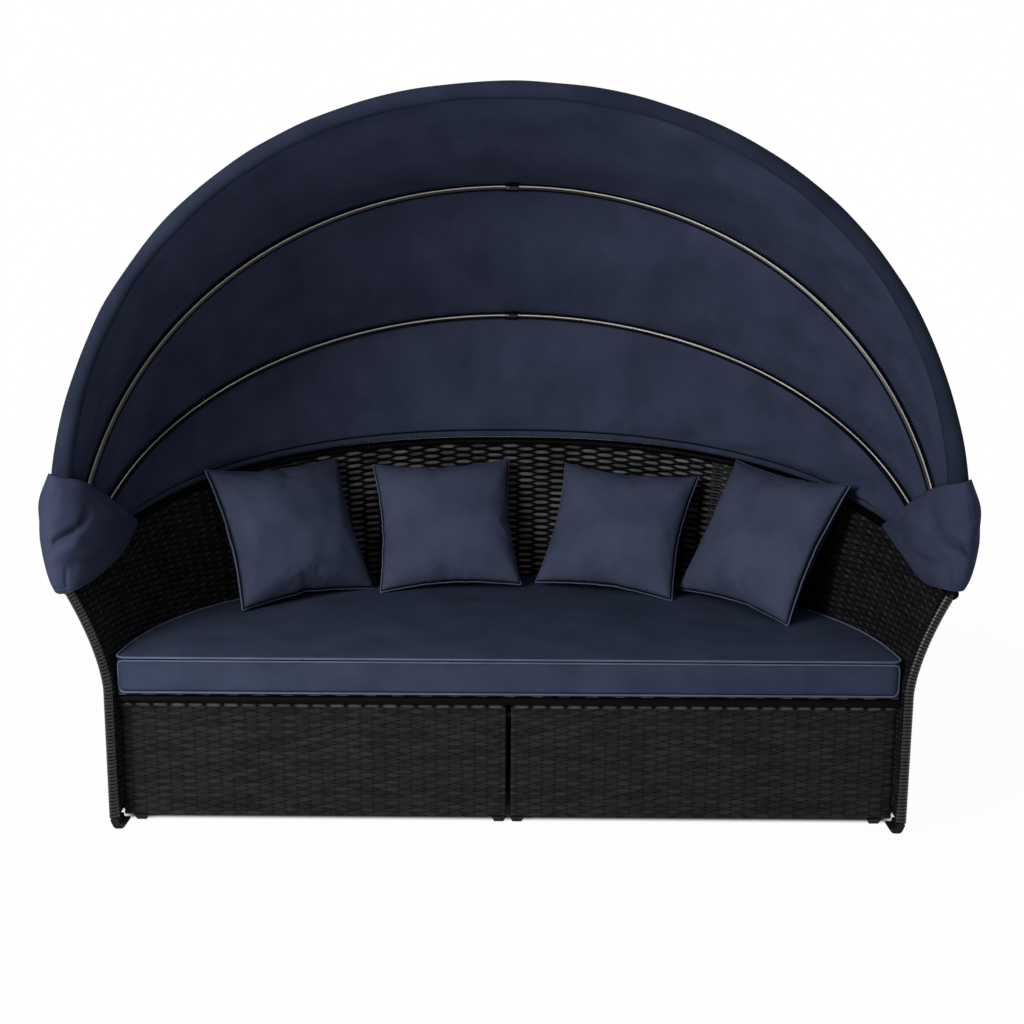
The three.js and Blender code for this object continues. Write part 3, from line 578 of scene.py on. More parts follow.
@dataclass(frozen=True)
class ResinWicker:
    """Extruded polyethylene half-round strand, near black, with a soft waxy gloss.

    The eye sees short grey strands that show one over, one under like bricks, black gaps between
    them and slight differences from strand to strand. The black gaps are painted shade: the hollows
    and, in a weave, the strands where they go under are coloured near black and their gloss is
    lowered. The UV map counts stakes along u and strands along v, and the Relief attribute is 0 in
    a hollow and 1 on a crown.
    """

    name: str = "woven_resin_wicker"
    woven: bool = True
    # Near-black colour painted as shade in the hollows and where strands go under.
    hollow_shade: str = "#010102"
    dark: str = "#2a2a2b"
    light: str = "#606060"
    under: float = 0.14
    lens: tuple[float, float] = (-0.2, 0.7)
    sharp: float = 0.95
    roughness: float = 0.34
    gloss: float = 0.14

    def build(self) -> Material:
        """Makes the material: each strand has its own shade and fine drawn lines along it."""
        material, tree = new_material(self.name)
        place = add_node(tree, "TexCoord")
        relief = add_node(tree, "Attribute", attribute_name="Relief")
        parts = add_node(tree, "SeparateXYZ", links={0: place.outputs["UV"]})
        strand = add_node(tree, "Math", operation="FLOOR", links={0: parts.outputs["Y"]})
        count = add_node(tree, "Math", operation="ADD", links={0: parts.outputs["X"], 1: strand})
        half = add_node(tree, "Math", {1: 0.5, 2: 0.5}, {0: count}, operation="MULTIPLY_ADD")
        brick = add_node(tree, "Math", operation="FLOOR", links={0: half})
        own = add_node(tree, "CombineXYZ", links={"X": brick, "Y": strand})
        shade = add_node(tree, "TexWhiteNoise", noise_dimensions="2D", links={"Vector": own})
        along = add_node(tree, "Mapping", {"Scale": (1.3, 0.9, 1)}, {"Vector": place.outputs["UV"]})
        patch = add_node(tree, "TexNoise", {"Scale": 1.0, "Detail": 3.0}, {"Vector": along})
        mixed = add_node(
            tree, "Math", {1: 0.5}, {0: shade.outputs["Value"], 2: patch.outputs["Fac"]},
            operation="MULTIPLY_ADD",
        )
        ramp = add_node(tree, "ValToRGB", links={"Fac": mixed})
        set_stops(ramp, (0.45, linear(self.dark)), (1.0, linear(self.light)))
        proud = add_node(
            tree, "MapRange", {"From Min": 0.3, "From Max": self.sharp},
            {"Value": relief.outputs["Fac"]}, interpolation_type="SMOOTHSTEP",
        )
        shown = self.shown(tree, count, proud) if self.woven else proud
        # Painted shade: where little of a strand shows, its colour goes to the near-black shade
        # colour.
        colour = add_node(
            tree, "Mix", {6: linear(self.hollow_shade)}, {0: shown, 7: ramp.outputs["Color"]},
            data_type="RGBA",
        )
        drawn = add_node(tree, "Mapping", {"Scale": (2.0, 9.0, 1)}, {"Vector": place.outputs["UV"]})
        lines = add_node(tree, "TexNoise", {"Scale": 1.0, "Detail": 2.0}, {"Vector": drawn})
        bump = add_node(
            tree, "Bump", {"Strength": 0.3, "Distance": 0.0006}, {"Height": lines.outputs["Fac"]},
        )
        # The gloss is lowered where the shade is painted.
        gloss = add_node(tree, "MapRange", {"To Max": self.gloss}, {"Value": shown})
        shader = add_node(
            tree, "BsdfPrincipled", {"IOR": 1.5, "Roughness": self.roughness},
            {"Base Color": colour.outputs[2], "Specular IOR Level": gloss, "Normal": bump},
        )
        add_node(tree, "OutputMaterial", links={"Surface": shader})
        return material

    def shown(self, tree: Tree, count: Node, proud: Node) -> Node:
        """Adds how much of a strand shows: its relief times cos(pi count) above a low level."""
        turn = add_node(tree, "Math", {1: math.pi}, {0: count}, operation="MULTIPLY")
        over = add_node(tree, "Math", operation="COSINE", links={0: turn})
        brick = add_node(
            tree, "MapRange",
            {"From Min": self.lens[0], "From Max": self.lens[1], "To Min": self.under},
            {"Value": over}, interpolation_type="SMOOTHSTEP",
        )
        return add_node(tree, "Math", operation="MULTIPLY", links={0: proud, 1: brick})


@dataclass(frozen=True)
class PowderCoat:
    """Polyester powder coat baked on steel tube: near black, satin, with a faint orange peel.

    A light line is painted along the side that faces forward, the Turned attribute's 0 degrees,
    fading out by 14 degrees: a painted highlight that stands for the tubes' long gleam.
    """

    name: str = "powder_coated_tube"
    colour: str = "#070708"
    worn: str = "#100f10"
    painted_highlight: str = ""
    roughness: float = 0.2
    gloss: float = 0.3

    def build(self) -> Material:
        """Makes the material from the object's own coordinates: a 3 mm orange peel."""
        material, tree = new_material(self.name)
        place = add_node(tree, "TexCoord")
        cloud = add_node(
            tree, "TexNoise", {"Scale": 14.0, "Detail": 4.0}, {"Vector": place.outputs["Object"]},
        )
        peel = add_node(
            tree, "TexNoise", {"Scale": 330.0, "Detail": 1.0}, {"Vector": place.outputs["Object"]},
        )
        ramp = add_node(tree, "ValToRGB", links={"Fac": cloud.outputs["Fac"]})
        set_stops(ramp, (0.4, linear(self.colour)), (0.8, linear(self.worn)))
        bump = add_node(
            tree, "Bump", {"Strength": 0.12, "Distance": 0.0005}, {"Height": peel.outputs["Fac"]},
        )
        rough = add_node(
            tree, "MapRange", {"To Min": self.roughness - 0.05, "To Max": self.roughness + 0.1},
            {"Value": cloud.outputs["Fac"]},
        )
        colour = ramp.outputs["Color"]
        # Painted highlight: a light line on the tube's forward side, painted whatever the lamps do.
        if self.painted_highlight:
            turned = add_node(tree, "Attribute", attribute_name="Turned")
            near = add_node(
                tree, "MapRange", {"From Min": 14.0, "From Max": 5.0},
                {"Value": turned.outputs["Fac"]}, interpolation_type="SMOOTHSTEP",
            )
            lit = add_node(
                tree, "Mix", {7: linear(self.painted_highlight)}, {0: near, 6: colour}, data_type="RGBA",
            )
            colour = lit.outputs[2]
        shader = add_node(
            tree, "BsdfPrincipled", {"IOR": 1.5, "Specular IOR Level": self.gloss},
            {"Base Color": colour, "Roughness": rough, "Normal": bump},
        )
        add_node(tree, "OutputMaterial", links={"Surface": shader})
        return material


@dataclass(frozen=True)
class ZincPlate:
    """Bright zinc plate on steel bolts: pale grey metal with faint cloudy spangle."""

    name: str = "zinc_plated_steel"
    bright: str = "#a9adb0"
    dull: str = "#7e8286"

    def build(self) -> Material:
        """Makes the material: 4 mm clouds in colour and roughness."""
        material, tree = new_material(self.name)
        place = add_node(tree, "TexCoord")
        cloud = add_node(
            tree, "TexNoise", {"Scale": 250.0, "Detail": 3.0}, {"Vector": place.outputs["Object"]},
        )
        ramp = add_node(tree, "ValToRGB", links={"Fac": cloud.outputs["Fac"]})
        set_stops(ramp, (0.0, linear(self.dull)), (1.0, linear(self.bright)))
        rough = add_node(
            tree, "MapRange", {"To Min": 0.25, "To Max": 0.45}, {"Value": cloud.outputs["Fac"]},
        )
        shader = add_node(
            tree, "BsdfPrincipled", {"Metallic": 1.0},
            {"Base Color": ramp.outputs["Color"], "Roughness": rough},
        )
        add_node(tree, "OutputMaterial", links={"Surface": shader})
        return material


@dataclass(frozen=True)
class MouldedFoot:
    """Injection-moulded black nylon: matt, with a fine spark-eroded texture and scuffs."""

    name: str = "moulded_nylon"
    colour: str = "#0a0a0b"
    scuffed: str = "#1a1a1a"

    def build(self) -> Material:
        """Makes the material: a 1.5 mm grain and 12 mm scuffs."""
        material, tree = new_material(self.name)
        place = add_node(tree, "TexCoord")
        scuff = add_node(
            tree, "TexNoise", {"Scale": 85.0, "Detail": 5.0}, {"Vector": place.outputs["Object"]},
        )
        grain = add_node(tree, "TexNoise", {"Scale": 650.0}, {"Vector": place.outputs["Object"]})
        ramp = add_node(tree, "ValToRGB", links={"Fac": scuff.outputs["Fac"]})
        set_stops(ramp, (0.5, linear(self.colour)), (0.8, linear(self.scuffed)))
        bump = add_node(
            tree, "Bump", {"Strength": 0.3, "Distance": 0.0004}, {"Height": grain.outputs["Fac"]},
        )
        shader = add_node(
            tree, "BsdfPrincipled", {"Roughness": 0.55, "IOR": 1.53, "Specular IOR Level": 0.15},
            {"Base Color": ramp.outputs["Color"], "Normal": bump},
        )
        add_node(tree, "OutputMaterial", links={"Surface": shader})
        return material


@dataclass(frozen=True)
class NavyCanvas:
    """Solution-dyed acrylic canvas in navy: matt, with a plain weave and slightly mixed yarns.

    The real threads are 0.5 mm apart, too fine to show, so they are drawn 2 mm apart. The UV map is
    in metres of cloth, and the Seam attribute is the distance from the nearest seam in millimetres,
    where the lines of sewing are darker and the shade beside a piping is painted darker.
    """

    name: str = "navy_canvas"
    dark: str = "#2c3345"
    light: str = "#3c4357"
    thread: float = 2.0
    sheen: float = 0.05
    seams: tuple[tuple[float, float], ...] = ()

    def build(self) -> Material:
        """Makes the material: crossed threads in the bump, mixed yarns and wide soft fading."""
        material, tree = new_material(self.name)
        place = add_node(tree, "TexCoord")
        threads = [
            add_node(
                tree, "TexWave", {"Scale": 0.5 / (self.thread * MM) / math.pi, "Distortion": 0.4},
                {"Vector": place.outputs["UV"]}, bands_direction=direction,
            )
            for direction in ("X", "Y")
        ]
        weave = add_node(
            tree, "Math", links={0: threads[0].outputs["Fac"], 1: threads[1].outputs["Fac"]},
            operation="MULTIPLY",
        )
        yarn = add_node(
            tree, "TexNoise", {"Scale": 320.0, "Detail": 2.0}, {"Vector": place.outputs["UV"]},
        )
        fade = add_node(
            tree, "TexNoise", {"Scale": 9.0, "Detail": 3.0}, {"Vector": place.outputs["UV"]},
        )
        mixed = add_node(
            tree, "Math", {1: 0.5}, {0: yarn.outputs["Fac"], 2: fade.outputs["Fac"]},
            operation="MULTIPLY_ADD",
        )
        ramp = add_node(tree, "ValToRGB", links={"Fac": mixed})
        set_stops(ramp, (0.45, linear(self.dark)), (1.0, linear(self.light)))
        bump = add_node(tree, "Bump", {"Strength": 0.35, "Distance": 0.0006}, {"Height": weave})
        colour = self.seam_shade_and_lines(tree, ramp.outputs["Color"]) if self.seams else ramp.outputs["Color"]
        shader = add_node(
            tree, "BsdfPrincipled",
            {
                "Roughness": 0.9, "Specular IOR Level": 0.03, "IOR": 1.45,
                "Sheen Weight": self.sheen, "Sheen Roughness": 0.6,
                "Sheen Tint": linear(self.light),
            },
            {"Base Color": colour, "Normal": bump},
        )
        add_node(tree, "OutputMaterial", links={"Surface": shader})
        return material

    def seam_shade_and_lines(self, tree: Tree, colour: bpy.types.NodeSocket) -> bpy.types.NodeSocket:
        """Darkens or lightens the cloth by its distance from the seam: painted shade beside a
        piping, stitch lines and lighter bands.

        Args:
            tree: the material's node tree.
            colour: the cloth's own colour.

        Returns:
            The colour with its seams.
        """
        seam = add_node(tree, "Attribute", attribute_name="Seam")
        share = add_node(
            tree, "MapRange", {"From Max": self.seams[-1][0]}, {"Value": seam.outputs["Fac"]},
        )
        ramp = add_node(tree, "ValToRGB", links={"Fac": share})
        last = self.seams[-1][0]
        set_stops(ramp, *((away / last, (level, level, level, 1)) for away, level in self.seams))
        dark = add_node(
            tree, "Mix", {0: 1.0}, {6: colour, 7: ramp.outputs["Color"]}, data_type="RGBA",
            blend_type="MULTIPLY",
        )
        return dark.outputs[2]


# Seams: millimetres from the edge and the share of the cloth's own colour there: painted shade
# beside a piping, a lighter edge and a double row of stitches, and a darker edge and line round a
# lighter band along a folded tape.
PIPING_SHADE = ((0, 0.3), (3.6, 0.06), (5.2, 0.75), (9, 1), (12, 1))
STITCHED = ((0, 1.5), (3, 1.5), (4.5, 0.3), (6.5, 1), (12, 1), (13.5, 0.45), (15, 1), (17, 1))
FOLDED = ((0, 0.5), (7, 0.4), (8.5, 1.5), (12, 1.5), (13.5, 0.4), (15.5, 1), (17, 1))


def once(finish: ResinWicker | PowderCoat | ZincPlate | MouldedFoot | NavyCanvas) -> Material:
    """Returns a field whose material is made with the finishes."""
    return field(default_factory=finish.build)


def canopy_cloth(kind: str, seams: tuple[tuple[float, float], ...]) -> Material:
    """Returns a field for the canopy's canvas: the cushion's canvas painted lighter, as painted
    light.
    """
    return once(
        NavyCanvas(name=f"navy_canopy_painted_light_{kind}", dark="#2e3447", light="#3f455b", seams=seams)
    )


@dataclass
class Finishes:
    """The finishes, each made once."""

    # Lit and shaded copies of one weave: the back's is painted lighter, the arms' painted darker
    # with narrow painted highlights at the middle of each strand on top.
    woven: Material = once(ResinWicker())
    flat_woven: Material = once(
        ResinWicker(
            name="flat_woven_resin_wicker", hollow_shade="#111112", dark="#131314", light="#272728",
            under=0.75, sharp=0.5, gloss=0.1,
        )
    )
    arm_painted_light_woven: Material = once(
        ResinWicker(
            name="arm_painted_light_woven_resin_wicker", hollow_shade="#050506", dark="#242425", light="#3a3a3c",
            under=0.42, sharp=0.7, lens=(0.9, 1.0), gloss=0.2,
        )
    )
    # The rim's strands are painted darker than the posts', with almost no gloss, as painted shade
    # under the hem.
    rim: Material = once(
        ResinWicker(
            name="rim_resin_wicker_painted_shade", woven=False, dark="#030304", light="#09090a", gloss=0.04,
        )
    )
    wound: Material = once(
        ResinWicker(
            name="wound_resin_wicker", woven=False, dark="#0b0b0c", light="#202022",
            roughness=0.24, gloss=0.4,
        )
    )
    # The border strand is painted lighter than the other wound strands, as its painted highlight.
    border: Material = once(
        ResinWicker(
            name="border_resin_wicker_painted_highlight", woven=False, hollow_shade="#19191a", dark="#1b1b1c",
            light="#454547", roughness=0.2, gloss=0.4,
        )
    )
    # The bows' tubes carry a painted highlight line along their forward side.
    tube: Material = once(PowderCoat(name="painted_highlight_tube", painted_highlight="#eceae0"))
    joiner: Material = once(PowderCoat())
    # The frame's powder coat is painted near black and matt, as painted shade in the gap under the
    # cushion where the rails show.
    frame: Material = once(
        PowderCoat(
            name="powder_coated_frame_painted_shade", colour="#030303", worn="#060607", roughness=0.6,
            gloss=0.05,
        )
    )
    zinc: Material = once(ZincPlate())
    foot: Material = once(MouldedFoot())
    # The sleeve's canvas is painted darker than the canopy's, as painted shade.
    sleeve: Material = once(NavyCanvas(name="navy_sleeve_painted_shade", dark="#1e2433", light="#2c3243"))
    hem: Material = once(NavyCanvas(name="navy_hem"))
    cushion: Material = once(NavyCanvas(name="navy_cushion_canvas", seams=PIPING_SHADE))
    # The pillows' canvas is a lighter copy of the cushion's: painted light.
    pillow: Material = once(
        NavyCanvas(name="navy_pillow_canvas_painted_light", dark="#383f53", light="#4d546b", seams=PIPING_SHADE)
    )
    piped: Material = canopy_cloth("piped", PIPING_SHADE)
    folded: Material = canopy_cloth("folded", FOLDED)
    stitched: Material = canopy_cloth("stitched", STITCHED)
    # The piping's canvas is painted lighter than the cloth, as its painted highlight.
    piping: Material = once(
        NavyCanvas(name="navy_piping_painted_highlight", dark="#4c5469", light="#626a7f", sheen=0.1)
    )


# ---------------------------------------------------------------- weaves


@dataclass(frozen=True)
class Weave:
    """A plain weave of half-round strands over stakes."""

    swing: float = 0.9
    crown: float = 2.1
    base: float = 7.9
    square: float = 0.6

    def height(self, strand: Array, stake: Array) -> Array:
        """The weave's surface over its backing.

        Strand k swings by tanh(square cos(pi (stake + k))), over one stake and under the next,
        and its section is half an ellipse that is wider where the strand is on top. The highest of
        a strand and its two neighbours shows.

        Args:
            strand: place across the strands, counted in strands.
            stake: place along them, counted in stakes.

        Returns:
            Millimetres above the base.
        """
        best = np.full(np.broadcast(strand, stake).shape, -self.swing)
        for step in (-1, 0, 1):
            row = np.floor(strand) + step
            turn = self.square * np.cos(math.pi * (stake + row))
            over = np.tanh(turn) / math.tanh(self.square)
            off = (strand - row - 0.5) / (0.45 + 0.13 * over)
            bulge = np.sqrt(np.clip(1 - off**2, 0, 1))
            level = self.swing * over + self.crown * bulge
            best = np.maximum(best, np.where(bulge > 0, level, best))
        return best

    def relief(self, height: Array) -> tuple[str, Array]:
        """Returns the Relief mark: 0 where the height is lowest and 1 where it is highest."""
        return "Relief", np.clip((height + self.swing) / (self.crown + 2 * self.swing), 0, 1)


@dataclass(frozen=True)
class Wrap:
    """A strand wound round a tube, edge to edge."""

    pitch: float = 7.3
    ridge: float = 1.1
    turns: int = 18
    per_strand: int = 4
    slant: int = 1

    def tube(self, path: Array, reference: Array, radius: float) -> Shape:
        """A wound tube: radius - ridge + ridge |sin(pi (run / pitch + slant turn))|^0.6.

        Args:
            path: the tube's middle line.
            reference: the direction that sets where the turn starts.
            radius: the strands' outer radius.

        Returns:
            The rings of points, how they end, their places on the strand and their relief.
        """
        total = lengths_along(path)[-1]
        strands = round(total / self.pitch)
        line = resample(path, strands * self.per_strand + 1)
        turn = np.arange(self.turns + 1) / self.turns
        phase = np.arange(len(line))[:, None] / self.per_strand + self.slant * turn[None]
        swell = np.abs(np.sin(math.pi * phase[:, :-1])) ** 0.6
        rings = sweep(line, reference, radius - self.ridge + self.ridge * swell, self.turns)
        uv = beside(turn[None] * 2 * math.pi * radius / 26, phase)
        return rings, Ends.FAN, uv, ("Relief", swell)


@dataclass
class WickerShell:
    """The woven wall, its wound rim, base ring and front posts, and its feet."""

    finishes: Finishes
    strands: int = 84
    per_strand: int = 4
    per_stake: int = 4
    arm_stake: float = 26
    back_stake: float = 38
    wall_low: float = 41.5
    rim_cover: float = 5
    wall_start: float = 13
    segments: int = 6
    back: tuple[int, ...] = (2, 3)
    post_radius: float = 11.3
    rim_radius: float = 12.3
    ring_radius: float = 10.2
    ring_height: float = 31.3
    post_core: float = 11
    foot_height: float = 21
    foot_width: float = 18
    foot_spread: float = 9
    foot_shift: float = 2
    foot_depth: float = 40
    toe_height: float = 11.5
    toe_reach: float = 16
    rear_feet: tuple[int, ...] = (50, 90, 130)
    sharp_angle: float = 1.3
    weave: Weave = Weave()
    wrap: Wrap = Wrap()

    def stake_angles(self) -> Array:
        """Angles along the plan at equal parts of a stake's spacing, which grows to the back."""
        start = SHELL.angle_at(self.wall_start)
        fine = np.linspace(start, math.pi - start, 8001)
        line = SHELL.point(fine, 300.0, 0.0)
        spacing = self.arm_stake + (self.back_stake - self.arm_stake) * np.sin(fine) ** 2
        count = np.concatenate(
            [[0], np.cumsum(np.diff(lengths_along(line)) / ((spacing[1:] + spacing[:-1]) / 2))]
        )
        stakes = round(count[-1] / self.segments) * self.segments
        return np.interp(np.linspace(0, count[-1], stakes * self.per_stake + 1), count, fine)

    def wall_segments(self) -> list[tuple[Array, Array, tuple[str, Array]]]:
        """The wall's rings, places on the weave and relief, in segments along the plan.

        A ring runs up the inner face, over inside the rim and down the outer face. Height is
        low + (rim - low) t, and the offset from the wall's middle is the weave's height.
        """
        angles = self.stake_angles()
        stake = np.arange(len(angles)) / self.per_stake
        count = self.strands * self.per_strand
        strand = np.arange(count + 1) / self.per_strand
        share = strand / self.strands
        top = SHELL.rim_height(angles) - self.rim_cover
        height = self.wall_low + (top[:, None] - self.wall_low) * share[None]
        rough = self.weave.height(strand[None], stake[:, None])
        offset = self.weave.base + rough
        inner = SHELL.point(angles[:, None], height, -offset)
        outer = SHELL.point(angles[:, None], height, offset)
        rings = np.concatenate([inner, outer[:, ::-1]], 1)
        along = np.concatenate([strand, strand[::-1], strand[:1]])
        uv = beside(stake[:, None], along[None])
        mark, face = self.weave.relief(rough)
        relief = np.concatenate([face, face[:, ::-1]], 1)
        step = (len(angles) - 1) // self.segments
        parts = [slice(i * step, (i + 1) * step + 1) for i in range(self.segments)]
        return [(rings[part], uv[part], (mark, relief[part])) for part in parts]

    def build(self) -> None:
        """Makes and dresses the shell's pieces."""
        for index, (rings, uv, relief) in enumerate(self.wall_segments()):
            wall = surface(f"woven_wall_{index + 1}", rings, Ends.STRIP, uv, relief)
            stands_for = ("wall_inner_weave", "wall_outer_weave") if index == 0 else ()
            wall.data.set_sharp_from_angle(angle=self.sharp_angle)
            # The back's segments take the lighter painted copy of the weave, the arms the darker
            # one with painted highlights.
            finish = self.finishes.woven if index in self.back else self.finishes.arm_painted_light_woven
            settle(wall, finish, "shell", stands_for)
        angles = np.linspace(0, math.pi, 6001)
        rim = surface("wound_rim", *self.wrap.tube(SHELL.rim(angles), UP, self.rim_radius))
        settle(rim, self.finishes.rim, "shell", ("rim_tube",))
        start = SHELL.angle_at(self.wall_start + 8)
        angles = np.linspace(start, math.pi - start, 6001)
        path = SHELL.point(angles, self.ring_height, 0.0)
        ring = surface("wound_base_ring", *self.wrap.tube(path, UP, self.ring_radius))
        settle(ring, self.finishes.wound, "shell", ("base_ring",))
        self.posts()
        self.feet()

    def posts(self) -> None:
        """Makes the two front posts, wound from the foot to the rim."""
        angle = SHELL.angle_at(self.post_core)
        for side, name in SIDES:
            height = np.linspace(self.foot_height + 0.3, float(SHELL.rim_height(angle)) - 3, 400)
            path = SHELL.point(angle, height, 0.0)
            path[:, 0] *= side
            made = self.wrap.tube(path, np.array([0.0, 1.0, 0.0]), self.post_radius)
            post = surface(f"wound_post_{name}", *made)
            settle(post, self.finishes.wound, "shell", (f"front_post_{name}",))

    def feet(self) -> None:
        """Makes the rounded feet: the front pair with a low toe, and the tapered rear ones.

        The rear ones stand at angles of the plan in degrees, and the profile holds their radius
        and height from the ground up.
        """
        inner = SHELL.half_width - self.post_core
        left = inner - self.foot_spread + self.foot_shift
        right, edge = left + self.foot_width, inner - 0.3
        outline = np.array(
            [[left, 0], [right, 0], [right + self.foot_spread, self.foot_height],
             [edge, self.foot_height], [edge, self.toe_height],
             [inner - self.toe_reach, self.toe_height]]
        )
        for side, name in SIDES:
            rings = rounded_bar(outline, 0, self.foot_depth, 2.2)
            rings[..., 0] *= side
            foot = surface(f"front_glide_{name}", rings, Ends.FAN)
            settle(foot, self.finishes.foot, "shell", (f"front_foot_{name}",))
        for index, turn in enumerate(self.rear_feet):
            x, y, _ = SHELL.point(math.radians(turn), 0.0, 0.0)
            profile = np.array([[0, 0], [6.5, 0], [7.6, 1.2], [11.6, 19.6], [11, 21], [0, 21]])
            rings = lathe(profile, 24) + np.array([x, y, 0])
            foot = surface(f"rear_glide_{index + 1}", rings, Ends.FAN)
            settle(foot, self.finishes.foot, "shell", (f"rear_foot_{index + 1}",))


def lathe(profile: Array, turns: int) -> Array:
    """Rings about the vertical: (r cos a, r sin a, z) for each r and z of the profile.

    Args:
        profile: radius and height pairs.
        turns: points in a ring.

    Returns:
        Rings by turns by 3.
    """
    angle = round_angles(turns)
    radius = np.maximum(profile[:, :1], 0.01)
    return beside(radius * np.cos(angle), radius * np.sin(angle), profile[:, 1:])


def rounded_bar(outline: Array, start: float, end: float, edge: float) -> Array:
    """An outline in x and z carried along y, with its corners and its ends rounded.

    The corners are cut three times by the rule of quarters, and near an end the outline shrinks
    to its middle by edge (1 - sin t) as y runs edge (1 - cos t).

    Args:
        outline: corner points.
        start: first y.
        end: last y.
        edge: the rounding of the ends.

    Returns:
        Rings by points by 3.
    """
    for _ in range(3):
        after = np.roll(outline, -1, axis=0)
        near, far = outline * 0.84 + after * 0.16, outline * 0.16 + after * 0.84
        outline = np.stack([near, far], 1).reshape(-1, 2)
    middle = outline.mean(0)
    span = np.ptp(outline, axis=0).mean() / 2
    turn = np.linspace(0, math.pi / 2, 5)
    shrink = 1 - edge * (1 - np.sin(turn)) / span
    ahead = start + edge * (1 - np.cos(turn))
    back = end - (ahead - start)
    scale = np.concatenate([shrink, shrink[::-1]])
    y = np.concatenate([ahead, back[::-1]])
    flat = middle + (outline - middle)[None] * scale[:, None, None]
    return beside(flat[..., 0], y[:, None], flat[..., 1])


# ---------------------------------------------------------------- seat


def seat_plan(
    half_width: float, front: float, depth: float, corner: float, inset: Array, arc: int = 240
) -> Array:
    """The seat's outline: the shell's curve, two rounded front corners and a straight front.

    Args:
        half_width: the curve's reach across.
        front: the straight front's distance back.
        depth: the curve's reach back.
        corner: the front corners' radius.
        inset: how far each ring is drawn in.
        arc: points along the curve.

    Returns:
        Rings by points by 2.
    """
    inset = np.asarray(inset, float)[:, None]
    width, reach, start = half_width - inset, depth - inset, front + inset
    rounding = np.maximum(corner - inset, corner / 4)
    angle = np.arcsin(((start + rounding) / reach) ** (SHELL.exponent / 2))
    turn = angle + (math.pi - 2 * angle) * np.linspace(0, 1, arc)[None]
    along = np.cos(turn)
    x = np.sign(along) * width * np.abs(along) ** (2 / SHELL.exponent)
    y = reach * np.sin(turn) ** (2 / SHELL.exponent)
    join = x[:, :1]
    bend = np.radians(np.linspace(12, 90, 7))[None]
    corner_x = join - rounding + rounding * np.cos(bend)
    corner_y = start + rounding - rounding * np.sin(bend)
    front_x = corner_x[:, -1:] * np.linspace(-1, 1, 60)[None, 1:-1]
    front_y = np.broadcast_to(start, front_x.shape)
    return beside(
        np.concatenate([x, -corner_x, front_x, corner_x[:, ::-1]], 1),
        np.concatenate([y, corner_y, front_y, corner_y[:, ::-1]], 1),
    )


def drawn_in(ring: Array, scales: Array) -> Array:
    """Returns copies of a ring drawn in to its own middle: middle + (ring - middle) scale."""
    middle = (ring.min(0) + ring.max(0)) / 2
    return middle + (ring - middle)[None] * np.asarray(scales)[:, None, None]


